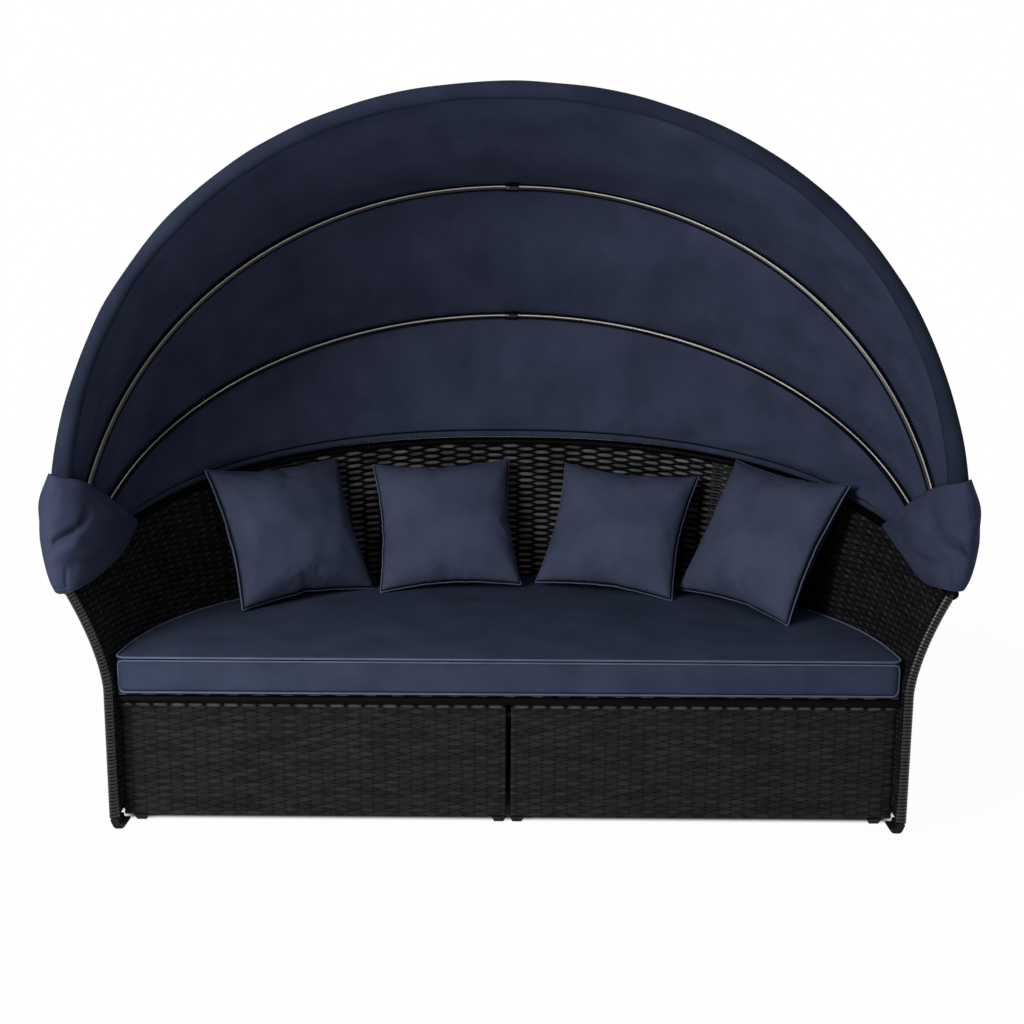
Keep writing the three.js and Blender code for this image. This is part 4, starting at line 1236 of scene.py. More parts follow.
@dataclass
class SeatCushion:
    """A boxed foam cushion with piping along the top and bottom of its band."""

    finishes: Finishes
    half_width: float = 793
    front: float = 18
    depth: float = 735
    corner: float = 24
    bottom: float = 282.3
    height: float = 76
    crown: float = 6
    pinch: float = 3.2
    piping: float = 2.3

    def rings(self) -> Shape:
        """The cushion's rings, from the middle of its underside to the middle of its top.

        Each ring is the seat's outline drawn in by an inset, at a height. The band is drawn in
        by the pinch at both pipings and bulges out between them by sin(pi t)^0.35, and the top
        rises by the crown towards the middle, with soft unevenness. The Seam mark is the
        distance from the nearer piping.
        """
        top = self.bottom + self.height
        t = (1 - np.cos(np.linspace(0, math.pi, 19))) / 2
        under, over = np.array([0.01, 0.5, 0.9]), np.append(np.linspace(0.97, 0.05, 24), 0.008)
        edge = np.array([2.5, 4, 6, 9, 14, 22, 34])
        inset = np.concatenate([[14, 4], self.pinch * (1 - np.sin(math.pi * t) ** 0.35), edge])
        low, high = self.bottom + 2.5, top - 2.5
        inward = np.concatenate([edge - 2.5, 34 + (1 - over) * 350])
        rise = top - 1.5 + (1.5 + self.crown) * (1 - np.exp(-inward / 60))
        height = np.concatenate(
            [[self.bottom] * 4, [self.bottom + 1], low + (high - low) * t, rise]
        )
        plan = seat_plan(self.half_width, self.front, self.depth, self.corner, inset)
        plan = np.concatenate([drawn_in(plan[0], under), plan, drawn_in(plan[-1], over)])
        band = slice(5, 5 + len(t))
        z = np.broadcast_to(height[:, None], plan.shape[:2]).copy()
        wave = ripple(plan[..., 0], plan[..., 1], 260, 5)
        flatness = np.concatenate([np.zeros(band.stop), smooth(inward, 6, 80)])
        z += 1.3 * wave * flatness[:, None]
        bulge = np.zeros(len(height))
        bulge[band] = np.sin(math.pi * t)
        soft = ripple(plan[..., 0] + plan[..., 1], z * 2, 190, 9)
        points = raised(plan, z)
        points[..., 1] -= bulge[:, None] * 0.6 * soft
        run = lengths_along(points[:, -30])
        around = lengths_along(closed(points[10]))
        uv = beside(around[None] * MM, run[:, None] * MM)
        flat = points[..., :2] * MM
        over_top = (np.arange(len(height)) >= band.stop)[:, None, None]
        uv = np.where(over_top, np.concatenate([flat, flat[:, :1]], 1), uv)
        seam = np.full(len(height), 30.0)
        seam[band] = np.minimum(height[band] - low, high - height[band])
        seam[band.stop :] = np.minimum(inward + 2, 30)
        return points, Ends.FAN, uv, ("Seam", np.broadcast_to(seam[:, None], z.shape))

    def build(self) -> None:
        """Makes the cushion and its two pipings."""
        cushion = surface("seat_cushion_cover", *self.rings())
        settle(cushion, self.finishes.cushion, "seat_pad", ("seat_cushion",))
        heights = {"top": self.bottom + self.height - 1, "bottom": self.bottom + 3}
        for name, height in heights.items():
            plan = seat_plan(self.half_width, self.front, self.depth, self.corner, [1.2])[0]
            made = piping_tube(raised(plan, height), self.piping)
            piping = surface(f"cushion_piping_{name}", *made)
            settle(piping, self.finishes.piping, "seat_pad")
        front = surface("cushion_piping_front", *piping_tube(self.front_loop(), 1.9))
        settle(front, self.finishes.piping, "seat_pad")

    def front_loop(self) -> Array:
        """The piping round the band's front: a rectangle with round corners, bent as the plan.

        Where x passes the start of the front corner, y = front + corner - sqrt(corner^2 - over^2),
        and over is how far it passes.
        """
        reach, bend = self.half_width - 6, 13
        low, high = self.bottom + 3.5, self.bottom + self.height - 7.2
        turn = np.linspace(0, math.pi / 2, 8)
        side = np.stack([reach - bend + bend * np.sin(turn), high - bend + bend * np.cos(turn)], 1)
        other = np.stack([side[::-1, 0], low + high - side[::-1, 1]], 1)
        right = np.concatenate([side, other])
        across = np.linspace(-1, 1, 120)[1:-1] * (reach - bend)
        flat = np.concatenate(
            [
                np.stack([across, np.full(len(across), high)], 1),
                right,
                np.stack([across[::-1], np.full(len(across), low)], 1),
                (right * np.array([-1, 1]))[::-1],
            ]
        )
        over = np.clip(np.abs(flat[:, 0]) - (self.half_width - self.corner), 0, self.corner)
        depth = self.front + self.corner - np.sqrt(self.corner**2 - over**2) + 0.4
        return np.stack([flat[:, 0], depth, flat[:, 1]], 1)


def piping_tube(path: Array, radius: float, turns: int = 8) -> tuple[Array, Ends, Array]:
    """A closed loop of piping: a round tube whose ends join.

    Args:
        path: the loop's points, without a repeat of the first.
        radius: the piping's radius.
        turns: points in a ring.

    Returns:
        The rings, how they end, and their places on the cloth.
    """
    wide = np.concatenate([path[-2:], path, path[:2]])
    flat = path - path.mean(0)
    square = np.linalg.svd(flat, full_matrices=False)[2][2]
    side, up = tube_frames(wide, square)
    side, up = side[2:-2], up[2:-2]
    angle = round_angles(turns)
    rings = path[:, None] + radius * (
        np.cos(angle)[None, :, None] * side[:, None] + np.sin(angle)[None, :, None] * up[:, None]
    )
    run = lengths_along(closed(path))
    share = np.arange(turns + 1) / turns * 2 * math.pi * radius
    uv = beside(run[:, None] * MM, share[None] * MM)
    return rings, Ends.JOINED, uv


@dataclass
class SeatDeck:
    """The seat's deck of flat woven straps, on its rails."""

    finishes: Finishes
    half_width: float = 790.5
    front: float = 22.5
    depth: float = 737.5
    low: float = 278.2
    high: float = 281.6
    strap: float = 28

    def build(self) -> None:
        """Makes the deck: insets of the seat's outline, raised 0.7 mm where a strap is on top."""
        plan = seat_plan(self.half_width, self.front, self.depth, 5, [3, 0, 0, 1.2, 6])
        plan = np.concatenate(
            [drawn_in(plan[0], [0.05]), plan, drawn_in(plan[-1], np.linspace(0.99, 0.03, 84))]
        )
        height = np.concatenate([[self.low] * 2, [self.low + 1], [self.high - 1], [self.high] * 86])
        over = np.sin(math.pi * plan[..., 0] / self.strap) * np.sin(
            math.pi * plan[..., 1] / self.strap
        )
        z = height[:, None] + np.where(height[:, None] >= self.high, 0.35 * over - 0.35, 0)
        points = raised(plan, z)
        uv = np.concatenate([plan, plan[:, :1]], 1) / self.strap
        deck = surface("strap_deck", points, Ends.FAN, uv, ("Relief", 0.7 + 0.3 * over))
        settle(deck, self.finishes.woven, "shell", ("seat_deck_weave",))


# ---------------------------------------------------------------- ottomans


@dataclass
class Ottoman:
    """A quarter of the seat's plan with woven sides and top, a wound border and three feet."""

    finishes: Finishes
    side: int
    half_gap: float = 3.5
    setback: float = 48
    width: float = 797
    depth: float = 735
    bottom: float = 12.3
    top: float = 255
    skin: float = 5
    strands: int = 31
    per_strand: int = 4
    per_stake: int = 4
    stake: float = 26
    lid_strand: float = 7.5
    sunk: float = 2.3
    border: float = 5.2
    border_drop: float = 6
    corner: float = 2
    fine: int = 1200
    weave: Weave = Weave(swing=0.35, crown=0.9, base=0, square=2)
    wrap: Wrap = Wrap(pitch=36, ridge=0.5, turns=14, per_strand=10, slant=0)

    @property
    def name(self) -> str:
        """Returns right or left."""
        return "right" if self.side > 0 else "left"

    def plan(self, inset: float) -> Array:
        """The outline drawn in by an inset: straight front and middle side, curved outer side.

        Args:
            inset: millimetres.

        Returns:
            A closed line of points with its three corners rounded, x and y last.
        """
        width, depth = self.width - inset, self.depth - inset
        front, side = self.setback + inset, self.half_gap + inset
        start = angle_at_depth(front, depth, SHELL.exponent)
        end = math.acos((side / width) ** (SHELL.exponent / 2))
        curve = superellipse(width, depth, SHELL.exponent, np.linspace(start, end, 400))
        corner = np.array([[side, front]])
        line = raised(np.concatenate([corner, curve, corner]), 0.0)
        even = resample(line, self.fine + 1)[:-1, :2]
        reach = max(1, round(self.corner * (self.fine + 1) / lengths_along(line)[-1]))
        wide = np.concatenate([even[-reach:], even, even[:reach]])
        total = np.cumsum(np.concatenate([np.zeros((1, 2)), wide]), axis=0)
        return (total[2 * reach + 1 :] - total[: -2 * reach - 1]) / (2 * reach + 1)

    def loop(self, inset: float, count: int) -> Array:
        """Returns count points at equal steps along the outline."""
        return resample(raised(closed(self.plan(inset)), 0.0), count + 1)[:-1, :2]

    def stakes(self) -> int:
        """Returns the even number of stakes round the outline."""
        return 2 * round(lengths_along(closed(self.plan(0)))[-1] / self.stake / 2)

    def sides(self) -> Shape:
        """The woven sides as a closed skirt.

        A ring runs up the outer face, whose offset is the weave's height less its highest, and
        down the plain inner face.
        """
        count = self.stakes() * self.per_stake
        outer = self.loop(0, count)
        ahead, behind = np.roll(outer, -1, 0), np.roll(outer, 1, 0)
        tangent = unit(ahead - behind)
        normal = beside(tangent[:, 1], -tangent[:, 0])
        stake = np.arange(count) / self.per_stake
        strand = np.arange(self.strands * self.per_strand + 1) / self.per_strand
        rough = self.weave.height(strand[None], stake[:, None])
        top = self.top - self.border_drop
        height = self.bottom + (top - self.bottom) * strand / self.strands
        face = raised(outer[:, None] + normal[:, None] * (rough - self.sunk)[..., None], height)
        inner = outer - normal * self.skin
        low, high = raised(inner, self.bottom), raised(inner, top)
        rings = np.concatenate([face, high[:, None], low[:, None]], 1)
        along = np.concatenate([strand, [self.strands, 0, 0]])
        every = np.arange(count + 1) / self.per_stake
        uv = beside(every[:, None], along[None])
        mark, face = self.weave.relief(rough)
        relief = np.concatenate([face, np.zeros((count, 2))], 1)
        return self.turned(rings), Ends.JOINED, uv, (mark, relief)

    def turned(self, points: Array) -> Array:
        """Returns the points on this ottoman's own side of the middle."""
        return points * np.array([self.side, 1, 1])

    def lid(self) -> Shape:
        """The woven top: insets of the outline, with the weave's rows running across."""
        low, high = self.top - self.skin, self.top - 1.2
        edge = [self.loop(inset, 400) for inset in (8, 5.5, 5.5, 7)]
        plan = np.concatenate(
            [drawn_in(edge[0], [0.05]), edge, drawn_in(edge[-1], np.linspace(0.985, 0.02, 90))]
        )
        height = np.concatenate([[low, low, low + 1], [high - 1], [high] * 91])
        strand, stake = plan[..., 1] / self.lid_strand, plan[..., 0] / self.stake
        rough = self.weave.height(strand, stake)
        z = height[:, None] + np.where(height[:, None] >= high, rough - self.sunk, 0)
        points = raised(plan, z)
        uv = beside(stake, strand)
        uv = np.concatenate([uv, uv[:, :1]], 1)
        return self.turned(points), Ends.FAN, uv, self.weave.relief(rough)

    def build(self) -> None:
        """Makes and dresses the ottoman's pieces."""
        body = f"{self.name}_ottoman"
        sides = surface(f"ottoman_sides_{self.name}", *self.sides())
        settle(sides, self.finishes.flat_woven, body, (f"ottoman_weave_{self.name}",))
        lid = surface(f"ottoman_top_{self.name}", *self.lid())
        settle(lid, self.finishes.flat_woven, body)
        line = raised(self.plan(self.border - 1), self.top - self.border + 0.4)
        path = self.turned(closed(line))
        rings, _, uv, (mark, swell) = self.wrap.tube(path, UP, self.border)
        made = rings[:-1], Ends.JOINED, uv, (mark, swell[:-1])
        border = surface(f"ottoman_border_{self.name}", *made)
        settle(border, self.finishes.border, body)


# ---------------------------------------------------------------- canopy


@dataclass
class BowTubes:
    """A bow's two bent tubes, flattened to an eye at the pivot, and its centre coupler."""

    finishes: Finishes
    bow: Bow
    name: str
    start: float = -11
    straight_until: float = 16
    curve_from: float = 18
    middle_gap: float = 0.5
    flat_until: float = 30
    round_from: float = 62
    strap: float = 11
    thin: float = 2
    coupler_half: float = 15
    coupler_wall: float = 2.4

    def half(self, side: int) -> Array:
        """One bent tube.

        Its section is an ellipse with a width and a thickness that run from the strap's to the
        tube's radius between two distances from the pivot, and shrinks to a round end.
        """
        bow = self.bow
        bend = bow.angle_at(self.curve_from)
        end = math.acos((self.middle_gap / bow.half_width) ** (bow.exponent / 2))
        curve = bow.plane_point(np.linspace(bend, end, 1500))
        straight = np.linspace(self.start, self.straight_until, 40)
        tail = np.stack([np.full(40, bow.half_width), straight, np.zeros(40)], 1)
        path = resample(np.concatenate([tail, curve]), 260)
        near = lengths_along(path)
        ramp = smooth(near + self.start, self.flat_until, self.round_from)
        radius = bow.diameter / 2
        tip = np.sqrt(np.clip(1 - ((self.strap - near) / self.strap).clip(0) ** 2, 0.02, 1))
        wide = (self.strap + (radius - self.strap) * ramp) * tip
        thin = self.thin + (radius - self.thin) * ramp
        across, up = tube_frames(path, UP)
        angle = round_angles(20)
        rings = (
            path[:, None]
            + (thin[:, None] * np.cos(angle))[..., None] * across[:, None]
            + (wide[:, None] * np.sin(angle))[..., None] * up[:, None]
        )
        return bow.stand(rings * np.array([side, 1, 1]))

    def coupler(self) -> Array:
        """The coupler: a short round sleeve with soft edges, closed on itself."""
        outer = self.bow.diameter / 2 + self.coupler_wall
        inner = self.bow.diameter / 2 + 0.2
        end = self.coupler_half
        right = np.array(
            [[end - 1, outer], [end, outer - 0.8], [end, inner + 0.6], [end - 1, inner]]
        )
        edge = np.concatenate([right[::-1] * np.array([-1, 1]), right])
        angle = round_angles(28)
        x = np.broadcast_to(edge[:, None, 0], (len(edge), len(angle)))
        y = self.bow.reach + edge[:, None, 1] * np.cos(angle)
        z = edge[:, None, 1] * np.sin(angle)
        return self.bow.stand(beside(x, y, z))

    def build(self) -> None:
        """Makes and dresses the bow's pieces."""
        for side, word in SIDES:
            rings = self.half(side)
            middle = rings.mean(1, keepdims=True)
            along = unit(np.gradient(middle, axis=0))
            # Turned is each point's angle from the forward side, where the tube's painted highlight
            # line lies.
            front = np.array([0, -1, 0.2])
            facing = unit(front - (front * along).sum(-1, keepdims=True) * along)
            turned = np.degrees(np.arccos((unit(rings - middle) * facing).sum(-1).clip(-1, 1)))
            name = f"{self.name}_bent_tube_{word}"
            tube = surface(name, rings, Ends.FAN, None, ("Turned", turned))
            settle(tube, self.finishes.tube, self.name, (f"{self.name}_tube_{word}",))
        coupler = surface(f"{self.name}_joiner", self.coupler(), Ends.JOINED)
        settle(coupler, self.finishes.joiner, self.name, (f"{self.name}_coupler",))


@dataclass(frozen=True)
class Edge:
    """A canopy line with its neighbours, and how far the cloth is lifted off it."""

    line: Callable[[Array], Array]
    before: Callable[[Array], Array]
    after: Callable[[Array], Array]
    lift: float

    def place(self, share: Array, shift: float) -> tuple[Array, Array]:
        """The cloth's edge and its outward direction.

        Along is the line's own direction, up leads from the line before to the line after, made
        square to along, and out is along cross up. The edge is line + lift out + shift up.

        Args:
            share: places along the line from right to left.
            shift: how far above the line the edge is.

        Returns:
            The edge's points and the out directions.
        """
        step = 1 / 56
        low, high = np.maximum(0, share - step), np.minimum(1, share + step)
        along = unit(self.line(high) - self.line(low))
        up = self.after(share) - self.before(share)
        up = unit(up - (up * along).sum(-1, keepdims=True) * along)
        out = unit(np.cross(along, up))
        return self.line(share) + out * self.lift + up * shift, out


@dataclass
class Canopy:
    """The canopy's cloth: a hem along the rim, three panels, the hoop's sleeve and two caps."""

    finishes: Finishes
    thickness: float = 2
    columns: int = 180
    rows: int = 24
    lift: float = 12.5
    hem_low: float = 12.3
    hem_high: float = 26.3
    hem_cover: float = 225
    sleeve_from: float = 60
    sleeve_radius: float = 15.6
    sleeve_bore: float = 10.4
    sleeve_swell: float = 5.5
    gather: float = 0.45

    def rim_line(self, share: Array) -> Array:
        """Returns the rim's middle line over the hem's reach, from right to left."""
        start = SHELL.rim_angle_at(self.hem_cover)
        return SHELL.rim(start + (math.pi - 2 * start) * np.asarray(share))

    def edges(self) -> dict[str, Edge]:
        """Returns the lines at the rim, the two bows and the hoop."""
        rim, lower = self.rim_line, LOWER_BOW.line
        upper, hoop = UPPER_BOW.line, FRONT_HOOP.line
        return {
            "rim": Edge(rim, rim, lower, -1.5),
            "lower": Edge(lower, rim, upper, self.lift),
            "upper": Edge(upper, lower, hoop, self.lift),
            "hoop": Edge(hoop, upper, hoop, 8),
        }

    def panel(
        self, low: Edge, high: Edge, low_shift: float, high_shift: float,
        folds: Callable[[Array, Array], Array], thickness: float, rows: int,
    ) -> Shape:
        """A panel: low + (high - low) t between two edges, moved out by its folds.

        Args:
            low: the lower edge.
            high: the upper edge.
            low_shift: how far above its line the lower edge is.
            high_shift: how far above its line the upper edge is.
            folds: gives the move outwards from share and t.
            thickness: the cloth's.
            rows: steps between the edges.

        Returns:
            The rings, each up the inner face and down the outer one, how they end, places on
            the cloth and the distance from the nearer seam.
        """
        share = np.linspace(0, 1, self.columns + 1)
        t = (1 - np.cos(np.linspace(0, math.pi, rows + 1))) / 2
        bottom, out_low = low.place(share, low_shift)
        top, out_high = high.place(share, high_shift)
        points = bottom[:, None] + (top - bottom)[:, None] * t[None, :, None]
        out = unit(out_low[:, None] + (out_high - out_low)[:, None] * t[None, :, None])
        grid_share, grid_t = np.meshgrid(share, t, indexing="ij")
        points = points + out * folds(grid_share, grid_t)[..., None]
        normal = square_to(points)
        flip = np.sign((normal * out).sum(-1, keepdims=True))
        outer = points + normal * flip * thickness
        rings = np.concatenate([points, outer[:, ::-1]], 1)
        run = lengths_along(points[:, rows // 2])
        tall = np.linalg.norm(top - bottom, axis=1).mean() * t
        across = np.concatenate([tall, tall[::-1], tall[:1]])
        uv = beside(run[:, None] * MM, across[None] * MM)
        height = np.linalg.norm(top - bottom, axis=1)[:, None]
        seam = np.minimum(height * t[None], height * (1 - t[None]))
        return rings, Ends.STRIP, uv, ("Seam", np.concatenate([seam, seam[:, ::-1]], 1))

    @staticmethod
    def still(share: Array, t: Array) -> Array:
        """Returns no move at all."""
        return np.zeros_like(share)

    @staticmethod
    def rear_folds(share: Array, t: Array) -> Array:
        """Soft waves and a roll over the hem, with short puckers that run up from it."""
        fade = np.sin(math.pi * t) ** 0.8
        wave = ripple(share * 9, t * 1.5, 1.6, 3)
        roll = hump(t, 0.13, 0.1) * (0.7 + 0.3 * np.sin(5 * share + 1))
        side = 0.35 + 0.65 * hump(share, 0.36, 0.16) + 0.4 * hump(share, 0.66, 0.1)
        phase = 2 * math.pi * (31 * share + 0.5 * ripple(share * 30, t * 0, 5, 8) - 2.2 * t)
        pucker = np.sin(phase) * side * np.exp(-t / 0.2)
        folds = sum(
            size * stroke(share, t * 0.35, start, end, 0.008)
            for start, end, size in (
                ((0.40, 0.01), (0.37, 0.10), 8), ((0.33, 0.01), (0.28, 0.075), 10),
                ((0.27, 0.012), (0.2, 0.06), 9), ((0.44, 0.01), (0.43, 0.07), 6),
                ((0.62, 0.01), (0.66, 0.06), 6), ((0.72, 0.01), (0.78, 0.05), 6),
            )
        )
        return fade * (3 * wave - 5) - 14 * roll * fade**0.2 + fade**0.4 * (3 * pucker + folds)

    @staticmethod
    def middle_folds(share: Array, t: Array) -> Array:
        """Soft waves of 3 mm on a sag of 7 mm."""
        fade = np.sin(math.pi * t) ** 0.8
        return fade * (3 * ripple(share * 9, t * 1.2, 1.8, 11) - 7)

    @staticmethod
    def front_folds(share: Array, t: Array) -> Array:
        """Faint radial folds near the crown on a sag of 9 mm."""
        fade = np.sin(math.pi * t) ** 0.8
        radial = sum(
            size * stroke(share, t * 0.3, start, end, 0.009)
            for start, end, size in (
                ((0.655, 0.03), (0.64, 0.28), 3.5), ((0.60, 0.02), (0.605, 0.24), -3),
                ((0.545, 0.05), (0.55, 0.29), 3), ((0.525, 0.02), (0.52, 0.2), -2.5),
                ((0.465, 0.06), (0.46, 0.28), 2.5), ((0.36, 0.02), (0.37, 0.2), 2.5),
            )
        )
        return fade * (2.5 * ripple(share * 8, t * 1.2, 1.9, 21) - 9 + radial)

    def build(self) -> None:
        """Makes and dresses the canopy's cloth."""
        edge = self.edges()
        thick = self.thickness
        made = self.panel(edge["rim"], edge["rim"], self.hem_low, self.hem_high, self.still, 3, 2)
        hem = surface("rear_hem_band", *made)
        settle(hem, self.finishes.hem, "shell", ("canopy_rear_hem",))
        panels = (
            ("rear", "rim", "lower", self.hem_high + 0.3, -0.2, self.rear_folds),
            ("middle", "lower", "upper", 0.2, -0.2, self.middle_folds),
            ("front", "upper", "hoop", 0.2, -16.3, self.front_folds),
        )
        crown = {name: one.line(0.5) for name, one in edge.items()}
        for name, low, high, low_shift, high_shift, folds in panels:
            made = self.panel(edge[low], edge[high], low_shift, high_shift, folds, thick, self.rows)
            panel = surface(f"{name}_panel_cloth", *made)
            kinds = {"rear": self.finishes.piped, "front": self.finishes.folded}
            finish = kinds.get(name, self.finishes.stitched)
            settle(panel, finish, "", (f"canopy_{name}_panel",))
            start, end = crown[low], crown[high]
            middle, reach = (start + end) / 2, (end - start) / 2
            to_frame(middle - 0.85 * reach).tolist()
            to_frame(middle + 0.85 * reach).tolist()
            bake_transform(panel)
        self.sleeve()
        self.caps()

    def sleeve(self) -> None:
        """Makes the padded sleeve round the hoop: an outer skin and the bore, joined at the ends.

        The radius has soft gathers, grows by sleeve_swell towards the caps and draws in at the
        ends.
        """
        hoop = FRONT_HOOP
        start = hoop.angle_at(self.sleeve_from)
        line = resample(hoop.plane_point(np.linspace(start, math.pi - start, 3000)), 420)
        turns = 24
        run = lengths_along(line)
        turn = np.arange(turns) / turns
        waves = ripple(run[:, None] / 60, np.sin(2 * math.pi * turn)[None] * 0.8, 2.2, 31)
        near_end = np.minimum(run, run[-1] - run)
        end = 0.72 + 0.28 * np.sqrt(np.clip(near_end / 14, 0, 1))
        full = self.sleeve_swell * (1 - smooth(near_end, 30, 330))
        radius = (self.sleeve_radius + self.gather * waves + full[:, None]) * end[:, None]
        outward = np.sign(line[:, :1]) * np.array([1.0, 0.0, 0.0]) * 0.7 * full[:, None]
        outer = sweep(line + outward, UP, radius, turns)
        inner = sweep(line, UP, self.sleeve_bore, turns)
        rings = hoop.stand(np.concatenate([outer, inner[::-1]]))
        around = np.arange(turns + 1) / turns * 0.1
        along = np.concatenate([run, run[::-1], run[:1]]) * MM
        uv = beside(along[:, None], around[None])
        sleeve = surface("hoop_sleeve_cloth", rings, Ends.JOINED, uv)
        settle(sleeve, self.finishes.sleeve, "front_hoop", ("front_hoop_sleeve",))

    def caps(self) -> None:
        """Makes the two pouches over the arms' front corners."""
        pouch = CapPouch()
        for side, word in SIDES:
            cap = surface(f"cap_pouch_{word}", *pouch.rings(side))
            settle(cap, self.finishes.stitched, "shell", (f"canopy_cap_{word}",))


@dataclass(frozen=True)
class CapPouch:
    """The pouch over an arm's front corner, through a hem line, a middle line and a top line.

    Each line's points are in shares of the reach from the hoop's end on the pivot axis.
    """

    reach: float = 140
    thickness: float = 2
    columns: int = 120
    rows: int = 40
    flat: tuple[float, float] = (0.62, 0.3)
    area: float = 0.13
    top: tuple = (
        (-0.61, 1.72, 0), (-0.6, 0.93, 0.33), (-0.415, 0.545, 0.65), (-0.28, -0.09, 0.93),
        (-0.02, -0.31, 1.02), (0.165, -0.08, 1.03), (0.08, 0.607, 0.785), (-0.05, 1.607, 0.215),
    )
    middle: tuple = (
        (-0.61, 1.664, -0.03), (-0.56, 0.893, 0.036), (-0.53, 0.143, 0.143),
        (-0.357, -0.48, 0.214), (-0.02, -0.69, 0.229), (0.288, -0.214, 0.25),
        (0.257, 0.643, 0.27), (-0.03, 1.593, 0.07),
    )
    hem: tuple = (
        (-0.61, 1.636, -0.064), (-0.56, 0.893, -0.35), (-0.4, 0.107, -0.525),
        (-0.3, -0.564, -0.555), (-0.1, -0.65, -0.59), (0.03, -0.48, -0.52),
        (-0.014, 0.607, -0.38), (-0.07, 1.58, -0.107),
    )
    right_lift: tuple[float, ...] = (0.05, 0.15, 0.02, 0.095, 0.12, 0.08, 0.056, 0)

    def line(self, shares: tuple, place: Array) -> Array:
        """A smooth line through the points: a centripetal cubic between each two.

        Args:
            shares: the points.
            place: 0 at the first point and 1 at the last.

        Returns:
            Points by 3, in millimetres.
        """
        points = np.array(shares) * self.reach
        hoop = FRONT_HOOP
        points = points + np.array([hoop.half_width, hoop.pivot_back, hoop.pivot_height])
        first, last = 2 * points[0] - points[1], 2 * points[-1] - points[-2]
        points = np.concatenate([[first], points, [last]])
        run = np.asarray(place) * (len(points) - 3)
        index = np.minimum(run.astype(int), len(points) - 4)
        t = (run - index)[:, None]
        p0, p1, p2, p3 = (points[index + i] for i in range(4))
        pairs = ((p0, p1), (p1, p2), (p2, p3))
        d0, d1, d2 = (np.sqrt(np.linalg.norm(b - a, axis=1))[:, None] for a, b in pairs)
        m1 = ((p1 - p0) / d0 - (p2 - p0) / (d0 + d1) + (p2 - p1) / d1) * d1
        m2 = ((p2 - p1) / d1 - (p3 - p1) / (d1 + d2) + (p3 - p2) / d2) * d1
        return (
            p1 + m1 * t + (3 * (p2 - p1) - 2 * m1 - m2) * t**2 + (2 * (p1 - p2) + m1 + m2) * t**3
        )

    def rings(self, side: int) -> Shape:
        """The pouch's rings, each up its inner face and down its outer one.

        A parabola through the hem, middle and top lines, with the folds added along its normal.

        Args:
            side: 1 for the right pouch and -1 for the left one.

        Returns:
            The rings, how they end, their places on the cloth and the distance from the hem.
        """
        place = np.linspace(0, 1, self.columns + 1)
        up = np.linspace(0, 1, self.rows + 1)
        lift = self.right_lift if side > 0 else (0,) * len(self.hem)
        low = tuple((x, y, z + more) for (x, y, z), more in zip(self.hem, lift))
        hem, middle, top = (self.line(s, place) for s in (low, self.middle, self.top))
        weights = ((1 - up) * (1 - 2 * up), 4 * up * (1 - up), up * (2 * up - 1))
        grid = sum(
            line[:, None] * weight[None, :, None]
            for line, weight in zip((hem, middle, top), weights)
        )
        s, t = np.meshgrid(place, up, indexing="ij")
        grid = grid + square_to(grid) * self.folds(s, t)[..., None]
        half = square_to(grid) * self.thickness / 2
        rings = np.concatenate([grid - half, (grid + half)[:, ::-1]], 1)
        rings = rings * np.array([side, 1, 1])
        run = lengths_along(grid[:, self.rows // 2]) * MM
        tall = np.concatenate([up, up[::-1], up[:1]]) * 0.24
        uv = beside(run[:, None], tall[None])
        seam = np.broadcast_to(tall[None, :-1] / MM, rings.shape[:2])
        return rings, Ends.STRIP, uv, ("Seam", seam)

    @staticmethod
    def folds(s: Array, t: Array) -> Array:
        """Returns the folds: a deep crease across the front, a soft one below, and dimples.

        Places are in millimetres along and up the cloth: s times 620 and t times 230.
        """
        u, v = s * 620, t * 230
        crease = np.maximum(
            stroke(u, v, (232, 168), (262, 132), 11), stroke(u, v, (250, 136), (372, 92), 9)
        )
        below = stroke(u, v, (262, 104), (372, 70), 15)
        low = stroke(u, v, (165, 62), (300, 56), 14)
        upright = stroke(u, v, (312, 8), (306, 52), 8)
        dimples = sum(
            stroke(u, v, (330, height), (372, height - 4), 6) for height in (203, 183, 160)
        )
        return (
            -15 * crease + 8 * below - 7 * low - 4 * upright - 4 * dimples
            + 1.2 * ripple(s * 8, t * 4, 1.4, 41)
        )


# ---------------------------------------------------------------- pillows


def inflated(points: Array, frames: int = 20) -> Array:
    """Blows a closed piece up as cloth under an even pressure, with no weight.

    Args:
        points: rings by points by 3, in millimetres, closed by strips at both ends.
        frames: steps of a 24th of a second.

    Returns:
        The points where they come to rest, in the same order.
    """
    piece = surface("soft_start", points, Ends.STRIP)
    cloth = piece.modifiers.new("Cloth", "CLOTH")
    cloth.point_cache.frame_start, cloth.point_cache.frame_end = 1, frames
    cloth.collision_settings.use_collision = False
    settings = cloth.settings
    settings.quality = 7
    settings.mass = 0.4
    settings.tension_stiffness = settings.compression_stiffness = 30
    settings.shear_stiffness = 12
    settings.bending_stiffness = 0.4
    settings.air_damping = 4
    settings.use_pressure = True
    settings.uniform_pressure_force = 9
    settings.effector_weights.gravity = 0
    for frame in range(1, frames + 1):
        bpy.context.scene.frame_set(frame)
    shown = piece.evaluated_get(bpy.context.evaluated_depsgraph_get())
    places = np.empty(points.size, np.float32)
    shown.data.vertices.foreach_get("co", places)
    bpy.data.objects.remove(piece)
    bpy.context.scene.frame_set(1)
    moved = places.reshape(points.shape).astype(float)
    moved[..., 1] -= SHIFT
    return moved / MM


